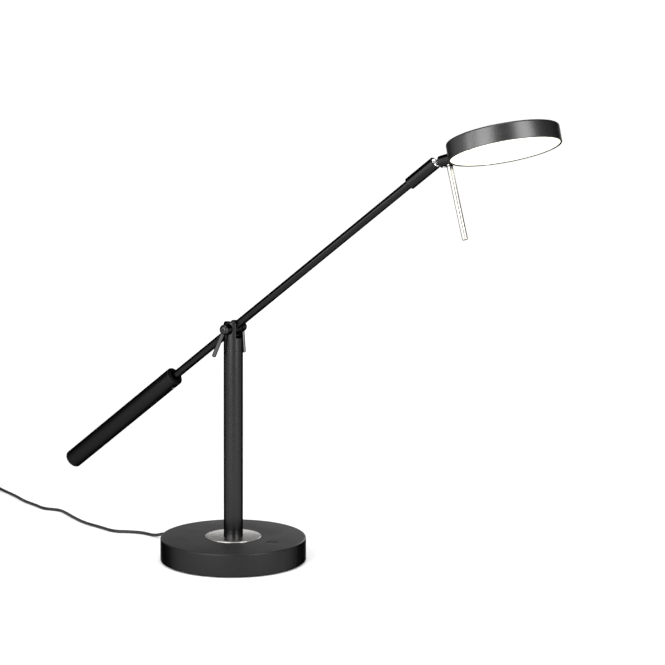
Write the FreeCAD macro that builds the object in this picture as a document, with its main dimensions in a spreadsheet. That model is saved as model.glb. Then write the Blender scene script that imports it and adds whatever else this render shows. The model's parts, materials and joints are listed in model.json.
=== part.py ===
import FreeCAD, Part
import math
import os
import re
import Sketcher

Vector = FreeCAD.Vector
Placement = FreeCAD.Placement
Rotation = FreeCAD.Rotation

# Counterweight balance desk lamp.  Millimetres and degrees, +Z up.  The origin is the centre of the
# base's underside.  The arm swings in the XZ plane, with the head toward +X and the weight toward -X.

# ---------------------------------------------------------------- driving dimensions
SIZES = {
    # round foot
    "base_radius": 80.0,
    "base_height": 26.0,
    "base_edge": 1.6,
    "shell_wall": 2.6,
    "shell_top": 3.0,
    "shell_lift": 1.2,
    "pad_thickness": 2.0,
    "pad_inset": 3.0,
    "plate_thickness": 2.5,
    "fit_gap": 0.3,
    "running_gap": 0.06,
    "ballast_inset": 3.4,
    "ballast_thickness": 9.5,
    "ballast_hub_radius": 18.0,
    "screw_circle": 64.0,
    "screw_radius": 2.0,
    "screw_head_radius": 3.8,
    "screw_reach": 7.0,
    "trim_radius": 30.5,
    "trim_thickness": 1.6,
    "trim_proud": 0.8,
    # driver and push switch inside the foot
    "driver_length": 56.0,
    "driver_width": 28.0,
    "driver_height": 8.2,
    "driver_offset": 44.0,
    "button_distance": 52.0,
    "button_radius": 5.0,
    "button_recess": 0.8,
    "button_thickness": 3.0,
    "button_travel": 1.0,
    "button_stem_radius": 2.2,
    "button_dimple": 0.8,
    "bezel_radius": 6.6,
    "switch_side": 15.0,
    # post
    "post_radius": 10.55,
    "post_wall": 1.6,
    "post_seam_drop": 23.9,
    "seam_gap": 0.4,
    "collar_height": 4.0,
    "nipple_radius": 5.0,
    "nipple_reach": 14.0,
    "nut_height": 4.6,
    "nut_across": 14.0,
    "washer_radius": 8.5,
    "washer_thickness": 1.2,
    "insert_height": 12.0,
    "bush_height": 18.0,
    "spigot_radius": 5.5,
    "retainer_radius": 7.4,
    "retainer_thickness": 2.4,
    # fork on top of the post
    "pivot_height": 257.0,
    "fork_top": 8.1,
    "fork_dome": 3.2,
    "slot_clearance": 0.35,
    "slot_drop": 10.2,
    "bolt_radius": 3.0,
    "spot_depth": 1.15,
    "spot_radius": 6.4,
    "face_washer_radius": 6.0,
    "face_washer_thickness": 1.2,
    # clamping levers
    "hub_radius": 5.7,
    "hub_length": 9.2,
    "hub_cap": 1.6,
    "hub_dome": 4.0,
    "lever_inset": 3.7,
    "lever_radius": 2.3,
    "front_lever_angle": -25.3,
    "front_lever_reach": 34.0,
    "rear_lever_angle": 4.7,
    "rear_lever_reach": 28.6,
    # balance arm
    "arm_pitch": 37.0,
    "arm_pitch_top": 50.0,
    "arm_clearance": 0.6,
    "barrel_radius": 7.2,
    "barrel_wall": 0.5,
    "friction_radius": 6.2,
    "friction_thickness": 1.25,
    "tube_radius": 4.5,
    "tube_wall": 1.05,
    "block_spigot": 14.0,
    "ball_distance": 310.4,
    "weight_near": 99.9,
    "weight_length": 186.5,
    "weight_radius": 10.5,
    "weight_edge": 1.9,
    "weight_recess": 2.4,
    "weight_rim": 2.4,
    "weight_screw_radius": 2.2,
    # ball socket at the end of the arm
    "sleeve_wall": 0.8,
    "sleeve_length": 37.5,
    "sleeve_lip": 2.4,
    "sleeve_edge": 0.9,
    "sleeve_tail": 0.8,
    "ball_radius": 5.4,
    "ball_gap": 0.3,
    "ball_stem_radius": 2.4,
    "ball_stem_reach": 13.2,
    "seat_length": 4.6,
    # head
    "neck_pitch": 16.35,
    "head_roll": 7.1,
    "neck_radius": 6.1,
    "neck_gap": 1.1,
    "neck_face_radius": 3.9,
    "head_distance": 82.05,
    "head_radius": 56.4,
    "head_height": 17.8,
    "head_wall": 1.5,
    "head_edge": 2.0,
    "rim_edge": 0.5,
    "heat_plate_thickness": 3.0,
    "board_radius": 50.0,
    "board_thickness": 1.3,
    "led_side": 3.2,
    "led_height": 0.8,
    "led_circle": 38.0,
    "diffuser_thickness": 2.0,
    "diffuser_recess": 0.8,
    "clip_width": 3.2,
    "clip_depth": 2.2,
    "handle_distance": 17.2,
    "handle_lean": 2.4,
    "handle_radius": 3.0,
    "handle_reach": 83.0,
    "handle_collar_radius": 3.6,
    "handle_collar_height": 1.0,
    "grub_distance": 11.4,
    "grub_radius": 1.5,
    "grub_proud": 0.7,
    "neck_screw_radius": 2.2,
    "neck_screw_head": 4.2,
    # cord and plug
    "cord_radius": 1.8,
    "gland_angle": 168.0,
    "gland_height": 8.5,
    "gland_length": 24.0,
    "gland_root_radius": 4.6,
    "gland_tip_radius": 2.7,
    "gland_flange": 2.0,
    "coil_radius": 21.6,
    "coil_pitch": 4.08,
    "coil_climb_room": 0.7,
    "tail_run": 13.0,
    "tail_slope": 24.0,
    "plug_relief_length": 20.0,
    "plug_length": 34.0,
    "plug_width": 25.0,
    "plug_thickness": 11.6,
    "plug_nose": 13.0,
    "pin_radius": 2.0,
    "pin_length": 19.0,
    "pin_spacing": 18.6,
}

COIL_LAYERS = 4
COIL_HALF_TURNS = 4
LED_COUNT = 12
CLIP_ANGLES = (20.0, 140.0, 260.0)
SCREW_ANGLES = (90.0, 210.0, 330.0)

# The cord's bends from the gland to the coil, each an (x, y, z) chosen by hand.
CORD_BENDS = [
    (-113.5, 24.1, 8.5),
    (-131.0, 27.9, 1.9),
    (-150.0, 32.0, 1.9),
    (-167.0, 27.5, 1.9),
    (-184.0, 17.5, 1.9),
    (-208.0, 24.5, 1.9),
    (-236.0, 30.0, 1.9),
    (-262.0, 41.5, 1.9),
    (-288.0, 56.0, 1.9),
    (-306.0, 64.5, 1.9),
    (-326.0, 58.0, 1.9),
    (-346.0, 67.0, 1.9),
    (-372.0, 75.0, 1.9),
    (-401.0, 91.0, 1.9),
    (-432.0, 104.0, 1.9),
    (-465.0, 120.0, 1.9),
]

document = FreeCAD.newDocument("lamp")
sheet = document.addObject("Spreadsheet::Sheet", "Sizes")
for row, (alias, number) in enumerate(SIZES.items(), start=1):
    sheet.set("A%d" % row, alias)
    sheet.set("B%d" % row, repr(number))
    sheet.setAlias("B%d" % row, alias)
document.recompute()

subparts = []


# ---------------------------------------------------------------- helpers
def value(expression):
    return float(sheet.evalExpression(expression))


def linked(expression):
    # Names of sizes become references to the sheet's cells.
    def reference(match):
        word = match.group(0)
        return "Sizes." + word if word in SIZES else word

    return re.sub(r"[a-z_]+", reference, expression)


def keep(thing, label):
    thing.Label = label
    subparts.append(thing)
    return thing


def new_body(label):
    return keep(document.addObject("PartDesign::Body", "Body"), label)


def new_sketch(body, plane, height="0"):
    sketch = body.newObject("Sketcher::SketchObject", "Sketch")
    support = [item for item in body.Origin.OriginFeatures if item.Role == plane][0]
    sketch.AttachmentSupport = [(support, "")]
    sketch.MapMode = "FlatFace"
    if height != "0":
        sketch.setExpression("AttachmentOffset.Base.z", linked(height))
    return sketch


def fix_point(sketch, edge, end, x, y):
    for kind, expression in (("DistanceX", x), ("DistanceY", y)):
        start = value(expression)
        index = sketch.addConstraint(Sketcher.Constraint(kind, -1, 1, edge, end, start))
        sketch.setExpression("Constraints[%d]" % index, linked(expression))


# Closed outline with straight sides; each corner is an (x, y) pair of expressions.
def outline(body, plane, corners, height="0"):
    sketch = new_sketch(body, plane, height)
    points = [Vector(value(x), value(y), 0) for x, y in corners]
    count = len(points)
    for index, point in enumerate(points):
        sketch.addGeometry(Part.LineSegment(point, points[(index + 1) % count]), False)
    for index in range(count):
        sketch.addConstraint(Sketcher.Constraint("Coincident", index, 2, (index + 1) % count, 1))
    for index, (x, y) in enumerate(corners):
        fix_point(sketch, index, 1, x, y)
    return sketch


def ring(body, plane, x, y, radius, height="0"):
    sketch = new_sketch(body, plane, height)
    centre = Vector(value(x), value(y), 0)
    sketch.addGeometry(Part.Circle(centre, Vector(0, 0, 1), value(radius)), False)
    fix_point(sketch, 0, 3, x, y)
    index = sketch.addConstraint(Sketcher.Constraint("Radius", 0, value(radius)))
    sketch.setExpression("Constraints[%d]" % index, linked(radius))
    return sketch


# A solid turned about the body's own X, Y or Z axis; corners are (along, radius) pairs.
def turned(body, axis, corners):
    if axis == "X":
        sketch = outline(body, "XZ_Plane", corners)
        edge = "H_Axis"
    else:
        plane = {"Y": "XY_Plane", "Z": "XZ_Plane"}[axis]
        sketch = outline(body, plane, [(radius, along) for along, radius in corners])
        edge = "V_Axis"
    feature = body.newObject("PartDesign::Revolution", "Revolution")
    feature.Profile = sketch
    feature.ReferenceAxis = (sketch, [edge])
    feature.Angle = 360
    document.recompute()
    return feature


def extruded(body, kind, sketch, length, side="One side", backward=False):
    before = body.Shape.Volume if body.Tip else 0.0
    feature = body.newObject("PartDesign::" + kind, kind)
    feature.Profile = sketch
    feature.SideType = side
    feature.Reversed = backward
    feature.setExpression("Length", linked(length))
    document.recompute()
    changed = abs(body.Shape.Volume - before) > 1e-3
    if not changed:
        raise RuntimeError("%s changes nothing in %s" % (kind, body.Label))
    return feature


def pad(body, sketch, length, side="One side", backward=False):
    return extruded(body, "Pad", sketch, length, side, backward)


def pocket(body, sketch, length, side="One side", backward=False):
    return extruded(body, "Pocket", sketch, length, side, backward)


def sphere_cut(body, x, radius):
    before = body.Shape.Volume
    feature = body.newObject("PartDesign::SubtractiveSphere", "Sphere")
    support = [item for item in body.Origin.OriginFeatures if item.Role == "XY_Plane"][0]
    feature.AttachmentSupport = [(support, "")]
    feature.MapMode = "FlatFace"
    feature.setExpression("AttachmentOffset.Base.x", linked(x))
    feature.setExpression("Radius", linked(radius))
    document.recompute()
    if before - body.Shape.Volume < 1e-3:
        raise RuntimeError("the sphere cuts nothing in " + body.Label)


# The names of a solid's circular edges with the given radius whose centre passes a test.
def circles(shape, radius, test):
    names = []
    for index, edge in enumerate(shape.Edges, start=1):
        if edge.Degenerated:
            continue
        curve = edge.Curve
        if hasattr(curve, "Radius") and abs(curve.Radius - value(radius)) < 1e-4 and test(curve.Center):
            names.append("Edge%d" % index)
    return names


def dressed(body, kind, radius, test, size):
    # The body's own frame: its Placement is set only after the last feature.
    base = body.Tip
    names = circles(base.Shape, radius, test)
    if not names:
        raise RuntimeError("no edge to dress on " + body.Label)
    feature = body.newObject("PartDesign::" + kind, kind)
    feature.Base = (base, names)
    feature.setExpression({"Fillet": "Radius", "Chamfer": "Size"}[kind], linked(size))
    document.recompute()
    if "Invalid" in feature.State or not feature.Shape.Edges:
        raise RuntimeError("%s fails on %s" % (kind, body.Label))
    return feature


def rounded(body, radius, test, size):
    return dressed(body, "Fillet", radius, test, size)


def bevelled(body, radius, test, size):
    return dressed(body, "Chamfer", radius, test, size)


def grouped(label, members):
    group = keep(document.addObject("Part::Compound", "Group"), label)
    for member in members:
        subparts.remove(member)
        member.Label = label + "_piece"
    group.Links = members
    return group


def near(number, expression):
    return abs(number - value(expression)) < 1e-3


# ---------------------------------------------------------------- frames of the moving groups
PIVOT = Vector(0, 0, value("pivot_height"))
ARM = Placement(PIVOT, Rotation(Vector(0, 1, 0), -value("arm_pitch")))
BALL_CENTRE = ARM.multVec(Vector(value("ball_distance"), 0, 0))
BALL = Placement(BALL_CENTRE, Rotation(Vector(0, 1, 0), -value("neck_pitch")))
NECK = BALL.multiply(Placement(Vector(), Rotation(Vector(1, 0, 0), -value("head_roll"))))
HEAD = NECK.multiply(Placement(Vector(value("head_distance"), 0, 0), Rotation()))
LEAN = Rotation(Vector(0, 1, 0), -value("handle_lean"))
HANDLE = NECK.multiply(Placement(Vector(value("handle_distance"), 0, 0), LEAN))

TRIM_TOP = "(base_height + trim_proud)"
COLLAR_TOP = "(base_height + trim_proud + collar_height)"
POST_TOP = "(pivot_height - post_seam_drop)"
POST_BORE = "(post_radius - post_wall)"
PLATE_TOP = "(pad_thickness + plate_thickness)"
BALLAST_TOP = "(pad_thickness + plate_thickness + ballast_thickness)"
SHELL_CEILING = "(base_height - shell_top)"
SHELL_BORE = "(base_radius - shell_wall)"
SEAT_TOP = "(base_height + trim_proud - trim_thickness)"
BUTTON_TOP = "(base_height - button_recess)"
TUBE_BORE = "(tube_radius - tube_wall)"
SPOT_FACE = "(post_radius - spot_depth)"
BARREL_HALF = "(tube_radius + barrel_wall)"
SLOT_HALF = "(tube_radius + barrel_wall + friction_thickness + slot_clearance)"
BALL_BORE = "(ball_radius + ball_gap)"
SLEEVE_RADIUS = "(ball_radius + ball_gap + sleeve_wall)"
NECK_START = "(sqrt(ball_radius ^ 2 - ball_stem_radius ^ 2) + neck_gap)"


# ---------------------------------------------------------------- foot
def base_shell():
    body = new_body("base_shell")
    turned(body, "Z", [
        ("shell_lift", SHELL_BORE),
        ("shell_lift", "base_radius"),
        ("base_height", "base_radius"),
        ("base_height", "trim_radius + running_gap"),
        (SEAT_TOP, "trim_radius + running_gap"),
        (SEAT_TOP, "nipple_radius + running_gap"),
        (SHELL_CEILING, "nipple_radius + running_gap"),
        (SHELL_CEILING, SHELL_BORE),
    ])
    # Drawn with the cord's hole toward -X, and turned to the cord's side at the end.
    button_x = "button_distance * cos(180 - gland_angle)"
    button_y = "button_distance * sin(180 - gland_angle)"
    hole = ring(body, "XY_Plane", button_x, button_y, "bezel_radius + running_gap", "base_height")
    pocket(body, hole, "shell_top")
    rounded(body, "base_radius", lambda c: near(c.z, "base_height"), "base_edge")
    bevelled(body, "base_radius", lambda c: near(c.z, "shell_lift"), "base_edge / 4")
    side = ring(body, "YZ_Plane", "0", "gland_height", "gland_tip_radius + running_gap")
    pocket(body, side, "base_radius * 2")
    body.Placement = Placement(Vector(), Rotation(Vector(0, 0, 1), value("gland_angle - 180")))


def base_pad():
    body = new_body("base_pad")
    turned(body, "Z", [
        ("0", "0"),
        ("0", "base_radius - pad_inset"),
        ("pad_thickness", "base_radius - pad_inset"),
        ("pad_thickness", "0"),
    ])
    bevelled(body, "base_radius - pad_inset", lambda c: near(c.z, "0"), "pad_thickness / 4")


def base_plate():
    body = new_body("base_plate")
    turned(body, "Z", [
        ("pad_thickness", "0"),
        ("pad_thickness", SHELL_BORE + " - fit_gap"),
        (PLATE_TOP, SHELL_BORE + " - fit_gap"),
        (PLATE_TOP, "0"),
    ])
    for angle in SCREW_ANGLES:
        x = "screw_circle * cos(%g)" % angle
        y = "screw_circle * sin(%g)" % angle
        hole = ring(body, "XY_Plane", x, y, "screw_head_radius + running_gap", PLATE_TOP)
        pocket(body, hole, "plate_thickness")


def plate_screws():
    screws = []
    for angle in SCREW_ANGLES:
        screw = new_body("plate_screw")
        turned(screw, "Z", [
            ("0", "0"),
            ("0", "screw_head_radius"),
            ("plate_thickness", "screw_head_radius"),
            ("plate_thickness", "screw_radius"),
            ("plate_thickness + screw_reach", "screw_radius"),
            ("plate_thickness + screw_reach", "0"),
        ])
        reach = value("screw_circle")
        turn = math.radians(angle)
        spot = Vector(reach * math.cos(turn), reach * math.sin(turn), value("pad_thickness"))
        screw.Placement = Placement(spot, Rotation())
        screws.append(screw)
    grouped("plate_screws", screws)


def base_ballast():
    body = new_body("base_ballast")
    turned(body, "Z", [
        (PLATE_TOP, "washer_radius + fit_gap"),
        (PLATE_TOP, SHELL_BORE + " - ballast_inset"),
        (BALLAST_TOP, SHELL_BORE + " - ballast_inset"),
        (BALLAST_TOP, "ballast_hub_radius"),
        (SHELL_CEILING, "ballast_hub_radius"),
        (SHELL_CEILING, "nipple_radius + running_gap"),
        (PLATE_TOP + " + nut_height + washer_thickness + fit_gap", "nipple_radius + running_gap"),
        (PLATE_TOP + " + nut_height + washer_thickness + fit_gap", "washer_radius + fit_gap"),
    ])
    for angle in SCREW_ANGLES:
        x = "screw_circle * cos(%g)" % angle
        y = "screw_circle * sin(%g)" % angle
        hole = ring(body, "XY_Plane", x, y, "screw_radius + running_gap", PLATE_TOP)
        pocket(body, hole, "screw_reach + fit_gap", backward=True)


def trim_disc():
    body = new_body("trim_disc")
    turned(body, "Z", [
        (SEAT_TOP, "nipple_radius + running_gap"),
        (SEAT_TOP, "trim_radius"),
        (TRIM_TOP, "trim_radius"),
        (TRIM_TOP, "nipple_radius + running_gap"),
    ])
    bevelled(body, "trim_radius", lambda c: near(c.z, TRIM_TOP), "trim_proud / 3")


def driver_case():
    body = new_body("driver_case")
    half = "driver_length / 2"
    near_side = "driver_offset - driver_width / 2"
    far_side = "driver_offset + driver_width / 2"
    sketch = outline(body, "XY_Plane", [
        ("-" + half, near_side),
        (half, near_side),
        (half, far_side),
        ("-" + half, far_side),
    ], BALLAST_TOP)
    pad(body, sketch, "driver_height")


def switch_body():
    body = new_body("switch_body")
    near_side = "button_distance - switch_side / 2"
    far_side = "button_distance + switch_side / 2"
    sketch = outline(body, "XY_Plane", [
        (near_side, "-switch_side / 2"),
        (far_side, "-switch_side / 2"),
        (far_side, "switch_side / 2"),
        (near_side, "switch_side / 2"),
    ], BALLAST_TOP)
    pad(body, sketch, SHELL_CEILING + " - 2 * fit_gap - " + BALLAST_TOP)
    well = ring(body, "XY_Plane", "button_distance", "0", "bezel_radius + fit_gap",
                SHELL_CEILING + " - 2 * fit_gap")
    pocket(body, well, SHELL_CEILING + " - 2 * fit_gap - " + BALLAST_TOP + " - 2 * button_travel")


def switch_bezel():
    body = new_body("switch_bezel")
    floor = BALLAST_TOP + " + 2 * button_travel"
    turned(body, "Z", [
        (floor, "button_stem_radius + fit_gap"),
        (floor, "bezel_radius"),
        (BUTTON_TOP + " + button_recess / 2", "bezel_radius"),
        (BUTTON_TOP + " + button_recess / 2", "button_radius + fit_gap"),
        (BUTTON_TOP + " - button_thickness - 2 * button_travel", "button_radius + fit_gap"),
        (BUTTON_TOP + " - button_thickness - 2 * button_travel", "button_stem_radius + fit_gap"),
    ])
    body.Placement = Placement(Vector(value("button_distance"), 0, 0), Rotation())


def switch_button():
    body = new_body("switch_button")
    turned(body, "Z", [
        (BALLAST_TOP + " + 3.5 * button_travel", "0"),
        (BALLAST_TOP + " + 3.5 * button_travel", "button_stem_radius"),
        (BUTTON_TOP + " - button_thickness", "button_stem_radius"),
        (BUTTON_TOP + " - button_thickness", "button_radius"),
        (BUTTON_TOP, "button_radius"),
        (BUTTON_TOP, "button_dimple"),
        (BUTTON_TOP + " - button_dimple / 2", "0"),
    ])
    rounded(body, "button_radius", lambda c: near(c.z, BUTTON_TOP), "button_dimple / 1.6")
    body.Placement = Placement(Vector(value("button_distance"), 0, 0), Rotation())


# ---------------------------------------------------------------- post
def post_foot():
    collar = new_body("post_foot_collar")
    turned(collar, "Z", [
        (TRIM_TOP, "nipple_radius + running_gap"),
        (TRIM_TOP, "post_radius"),
        (COLLAR_TOP, "post_radius"),
        (COLLAR_TOP, "nipple_radius + running_gap"),
    ])
    insert = new_body("post_foot_insert")
    turned(insert, "Z", [
        (COLLAR_TOP, "nipple_radius + running_gap"),
        (COLLAR_TOP, POST_BORE),
        (COLLAR_TOP + " + insert_height", POST_BORE),
        (COLLAR_TOP + " + insert_height", "nipple_radius + running_gap"),
    ])
    nipple = new_body("post_nipple")
    turned(nipple, "Z", [
        (PLATE_TOP + " + fit_gap", "nipple_radius / 2"),
        (PLATE_TOP + " + fit_gap", "nipple_radius"),
        (COLLAR_TOP + " + nipple_reach", "nipple_radius"),
        (COLLAR_TOP + " + nipple_reach", "nipple_radius / 2"),
    ])
    nut_floor = PLATE_TOP + " + fit_gap"
    nut = new_body("post_nut")
    corner = "nut_across / sqrt(3)"
    corners = []
    for step in range(6):
        angle = 60 * step
        corners.append((corner + " * cos(%g)" % angle, corner + " * sin(%g)" % angle))
    pad(nut, outline(nut, "XY_Plane", corners, nut_floor), "nut_height")
    bore = ring(nut, "XY_Plane", "0", "0", "nipple_radius + running_gap", nut_floor)
    pocket(nut, bore, "nut_height", backward=True)
    washer = new_body("post_washer")
    turned(washer, "Z", [
        (nut_floor + " + nut_height", "nipple_radius + running_gap"),
        (nut_floor + " + nut_height", "washer_radius"),
        (nut_floor + " + nut_height + washer_thickness", "washer_radius"),
        (nut_floor + " + nut_height + washer_thickness", "nipple_radius + running_gap"),
    ])


def post_tube():
    body = new_body("post_tube")
    turned(body, "Z", [
        (COLLAR_TOP + " + seam_gap", POST_BORE),
        (COLLAR_TOP + " + seam_gap", "post_radius"),
        (POST_TOP, "post_radius"),
        (POST_TOP, POST_BORE),
    ])
    bush = new_body("post_top_bush")
    turned(bush, "Z", [
        (POST_TOP + " - bush_height", "spigot_radius + running_gap"),
        (POST_TOP + " - bush_height", POST_BORE),
        (POST_TOP + " + seam_gap - fit_gap", POST_BORE),
        (POST_TOP + " + seam_gap - fit_gap", "spigot_radius + running_gap"),
    ])


# ---------------------------------------------------------------- fork, bolt and levers
# The fork's slot has a level floor in front of the bolt and, behind it, a floor that slants down
# beside the arm at its steepest, so that the weight can sink until the head is at its highest.
def fork():
    body = new_body("yoke")
    spigot_end = "-post_seam_drop - bush_height - fit_gap"
    turned(body, "Z", [
        (spigot_end + " - retainer_thickness", "0"),
        (spigot_end + " - retainer_thickness", "spigot_radius - tube_wall"),
        (spigot_end, "spigot_radius - tube_wall"),
        (spigot_end, "spigot_radius"),
        ("seam_gap - post_seam_drop", "spigot_radius"),
        ("seam_gap - post_seam_drop", "post_radius"),
        ("fork_top", "post_radius"),
        ("fork_top", "0"),
    ])
    rounded(body, "post_radius", lambda c: near(c.z, "fork_top"), "fork_dome")
    slot = outline(body, "YZ_Plane", [
        ("-" + SLOT_HALF, "-slot_drop"),
        (SLOT_HALF, "-slot_drop"),
        (SLOT_HALF, "fork_top + 1"),
        ("-" + SLOT_HALF, "fork_top + 1"),
    ])
    pocket(body, slot, "post_radius * 3", "Symmetric")
    room = "(tube_radius + arm_clearance)"
    start = "(slot_drop - %s * cos(arm_pitch_top)) / sin(arm_pitch_top)" % room
    near_x = "%s * sin(arm_pitch_top) - %s * cos(arm_pitch_top)" % (room, start)
    far_x = "-post_radius - 1"
    far_z = "-slot_drop + (%s - (%s)) * tan(arm_pitch_top)" % (far_x, near_x)
    relief = outline(body, "XZ_Plane", [
        (near_x, "-slot_drop"),
        (near_x, "0"),
        (far_x, "0"),
        (far_x, far_z),
    ])
    pocket(body, relief, "2 * " + SLOT_HALF, "Symmetric")
    bore = ring(body, "XZ_Plane", "0", "0", "bolt_radius + running_gap")
    pocket(body, bore, "post_radius * 3", "Symmetric")
    for height, back in ((SPOT_FACE, False), ("-" + SPOT_FACE, True)):
        face = ring(body, "XZ_Plane", "0", "0", "spot_radius", height)
        pocket(body, face, "post_radius", backward=not back)
    body.Placement = Placement(PIVOT, Rotation())

    retainer = new_body("yoke_retainer")
    turned(retainer, "Z", [
        (spigot_end + " - retainer_thickness", "spigot_radius - tube_wall + running_gap"),
        (spigot_end + " - retainer_thickness", "retainer_radius"),
        (spigot_end, "retainer_radius"),
        (spigot_end, "spigot_radius - tube_wall + running_gap"),
    ])
    retainer.Placement = Placement(PIVOT, Rotation())


HUB_START = "(%s + face_washer_thickness + fit_gap)" % SPOT_FACE
HUB_END = "(%s + hub_length)" % HUB_START


def pivot_bolt():
    body = new_body("pivot_bolt")
    end = HUB_END + " - hub_cap - fit_gap"
    turned(body, "Y", [
        ("-(%s)" % end, "0"),
        ("-(%s)" % end, "bolt_radius"),
        (end, "bolt_radius"),
        (end, "0"),
    ])
    body.Placement = Placement(PIVOT, Rotation())
    washers = []
    for turn in (0.0, 180.0):
        washer = new_body("face_washer")
        turned(washer, "Y", [
            (SPOT_FACE, "bolt_radius + running_gap"),
            (SPOT_FACE, "face_washer_radius"),
            (SPOT_FACE + " + face_washer_thickness", "face_washer_radius"),
            (SPOT_FACE + " + face_washer_thickness", "bolt_radius + running_gap"),
        ])
        washer.Placement = Placement(PIVOT, Rotation(Vector(0, 0, 1), turn))
        washers.append(washer)
    grouped("outer_washers", washers)


# One clamping lever: a hub on the bolt with a plain rod set square into it.  It is drawn on the
# +Y side, hanging straight down, and turned about the bolt to the angle at which it rests.
def lever(side):
    turn = {"front": 180.0, "rear": 0.0}[side]
    reach = side + "_lever_reach"
    socket = "(%s - lever_inset)" % HUB_END
    place = Placement(PIVOT, Rotation(Vector(0, 1, 0), -value(side + "_lever_angle")))
    place = place.multiply(Placement(Vector(), Rotation(Vector(0, 0, 1), turn)))

    hub = new_body("lever_hub_" + side)
    turned(hub, "Y", [
        (HUB_START, "bolt_radius + running_gap"),
        (HUB_START, "hub_radius"),
        (HUB_END, "hub_radius"),
        (HUB_END, "0"),
        (HUB_END + " - hub_cap", "0"),
        (HUB_END + " - hub_cap", "bolt_radius + running_gap"),
    ])
    rounded(hub, "hub_radius", lambda c: near(c.y, HUB_END), "hub_dome")
    seat = "bolt_radius + running_gap + tube_wall"
    bore = ring(hub, "XY_Plane", "0", socket, "lever_radius + running_gap", "-(%s)" % seat)
    pocket(hub, bore, "hub_radius")
    hub.Placement = place

    rod = new_body("lever_rod_" + side)
    turned(rod, "Z", [
        ("-(%s)" % seat, "0"),
        ("-(%s)" % seat, "lever_radius"),
        ("-" + reach, "lever_radius"),
        ("-" + reach, "0"),
    ])
    rounded(rod, "lever_radius", lambda c: near(c.z, "-" + reach), "lever_radius * 0.6")
    offset = Placement(Vector(0, value(socket), 0), Rotation())
    rod.Placement = place.multiply(offset)


# ---------------------------------------------------------------- balance arm
BARREL_SHOULDER = "(barrel_radius + 1)"


def pivot_block():
    body = new_body("pivot_block")
    turned(body, "Y", [
        ("-" + BARREL_HALF, "0"),
        ("-" + BARREL_HALF, "barrel_radius"),
        (BARREL_HALF, "barrel_radius"),
        (BARREL_HALF, "0"),
    ])
    shoulder = ring(body, "YZ_Plane", "0", "0", "tube_radius")
    pad(body, shoulder, "2 * " + BARREL_SHOULDER, "Symmetric")
    spigot = ring(body, "YZ_Plane", "0", "0", TUBE_BORE + " - running_gap")
    pad(body, spigot, "2 * (%s + block_spigot)" % BARREL_SHOULDER, "Symmetric")
    bore = ring(body, "XZ_Plane", "0", "0", "bolt_radius + running_gap")
    pocket(body, bore, "4 * " + BARREL_HALF, "Symmetric")
    body.Placement = ARM
    washers = []
    for turn in (0.0, 180.0):
        washer = new_body("friction_washer")
        turned(washer, "Y", [
            (BARREL_HALF, "bolt_radius + running_gap"),
            (BARREL_HALF, "friction_radius"),
            (BARREL_HALF + " + friction_thickness", "friction_radius"),
            (BARREL_HALF + " + friction_thickness", "bolt_radius + running_gap"),
        ])
        washer.Placement = ARM.multiply(Placement(Vector(), Rotation(Vector(0, 0, 1), turn)))
        washers.append(washer)
    grouped("friction_washers", washers)


SEAT_REAR = "(ball_distance - ball_radius - ball_gap - running_gap - seat_length / 2)"


def arm_tubes():
    front_end = SEAT_REAR + " - 2 * seat_length"
    tube = new_body("arm_tube")
    turned(tube, "X", [
        (BARREL_SHOULDER, TUBE_BORE),
        (BARREL_SHOULDER, "tube_radius"),
        (front_end, "tube_radius"),
        (front_end, TUBE_BORE),
    ])
    tube.Placement = ARM
    rod = new_body("arm_rod")
    rear_end = "-(weight_near + weight_length - weight_recess)"
    turned(rod, "X", [
        ("-" + BARREL_SHOULDER, TUBE_BORE),
        ("-" + BARREL_SHOULDER, "tube_radius"),
        (rear_end, "tube_radius"),
        (rear_end, TUBE_BORE),
    ])
    rod.Placement = ARM


def counterweight():
    near_end = "-weight_near"
    far_end = "-(weight_near + weight_length)"
    cap_radius = "(weight_radius - weight_rim)"
    body = new_body("counterweight")
    turned(body, "X", [
        (near_end, cap_radius + " + fit_gap"),
        (near_end, "weight_radius"),
        (far_end, "weight_radius"),
        (far_end, cap_radius + " + running_gap"),
        (far_end + " + weight_recess", cap_radius + " + running_gap"),
        (far_end + " + weight_recess", "tube_radius + running_gap"),
        (near_end + " - weight_recess", "tube_radius + running_gap"),
        (near_end + " - weight_recess", cap_radius + " + fit_gap"),
    ])
    screw_x = near_end + " - 4 * weight_recess"
    hole = ring(body, "XY_Plane", screw_x, "0", "weight_screw_radius + running_gap", "-tube_radius")
    pocket(body, hole, "weight_radius")
    rounded(body, "weight_radius", lambda c: near(c.x, far_end), "weight_edge")
    rounded(body, "weight_radius", lambda c: near(c.x, near_end), "weight_edge / 2")
    body.Placement = ARM

    collar = new_body("counterweight_collar")
    turned(collar, "X", [
        (near_end + " + fit_gap", "tube_radius + running_gap"),
        (near_end + " + fit_gap", cap_radius + " - fit_gap"),
        (near_end + " - weight_recess", cap_radius + " - fit_gap"),
        (near_end + " - weight_recess", "tube_radius + running_gap"),
    ])
    rounded(collar, cap_radius + " - fit_gap", lambda c: near(c.x, near_end + " + fit_gap"),
            "weight_edge / 3")
    collar.Placement = ARM

    cap = new_body("counterweight_end_cap")
    turned(cap, "X", [
        (far_end + " + weight_recess", "0"),
        (far_end + " + weight_recess", cap_radius),
        (far_end + " - fit_gap", cap_radius),
        (far_end + " - fit_gap", "0"),
    ])
    rounded(cap, cap_radius, lambda c: near(c.x, far_end + " - fit_gap"), "weight_edge / 3")
    cap.Placement = ARM

    screw = new_body("counterweight_grub_screw")
    turned(screw, "Z", [
        ("-tube_radius", "0"),
        ("-tube_radius", "weight_screw_radius"),
        ("fit_gap - weight_radius", "weight_screw_radius"),
        ("fit_gap - weight_radius", "0"),
    ])
    screw.Placement = ARM.multiply(Placement(Vector(value(screw_x), 0, 0), Rotation()))


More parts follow.
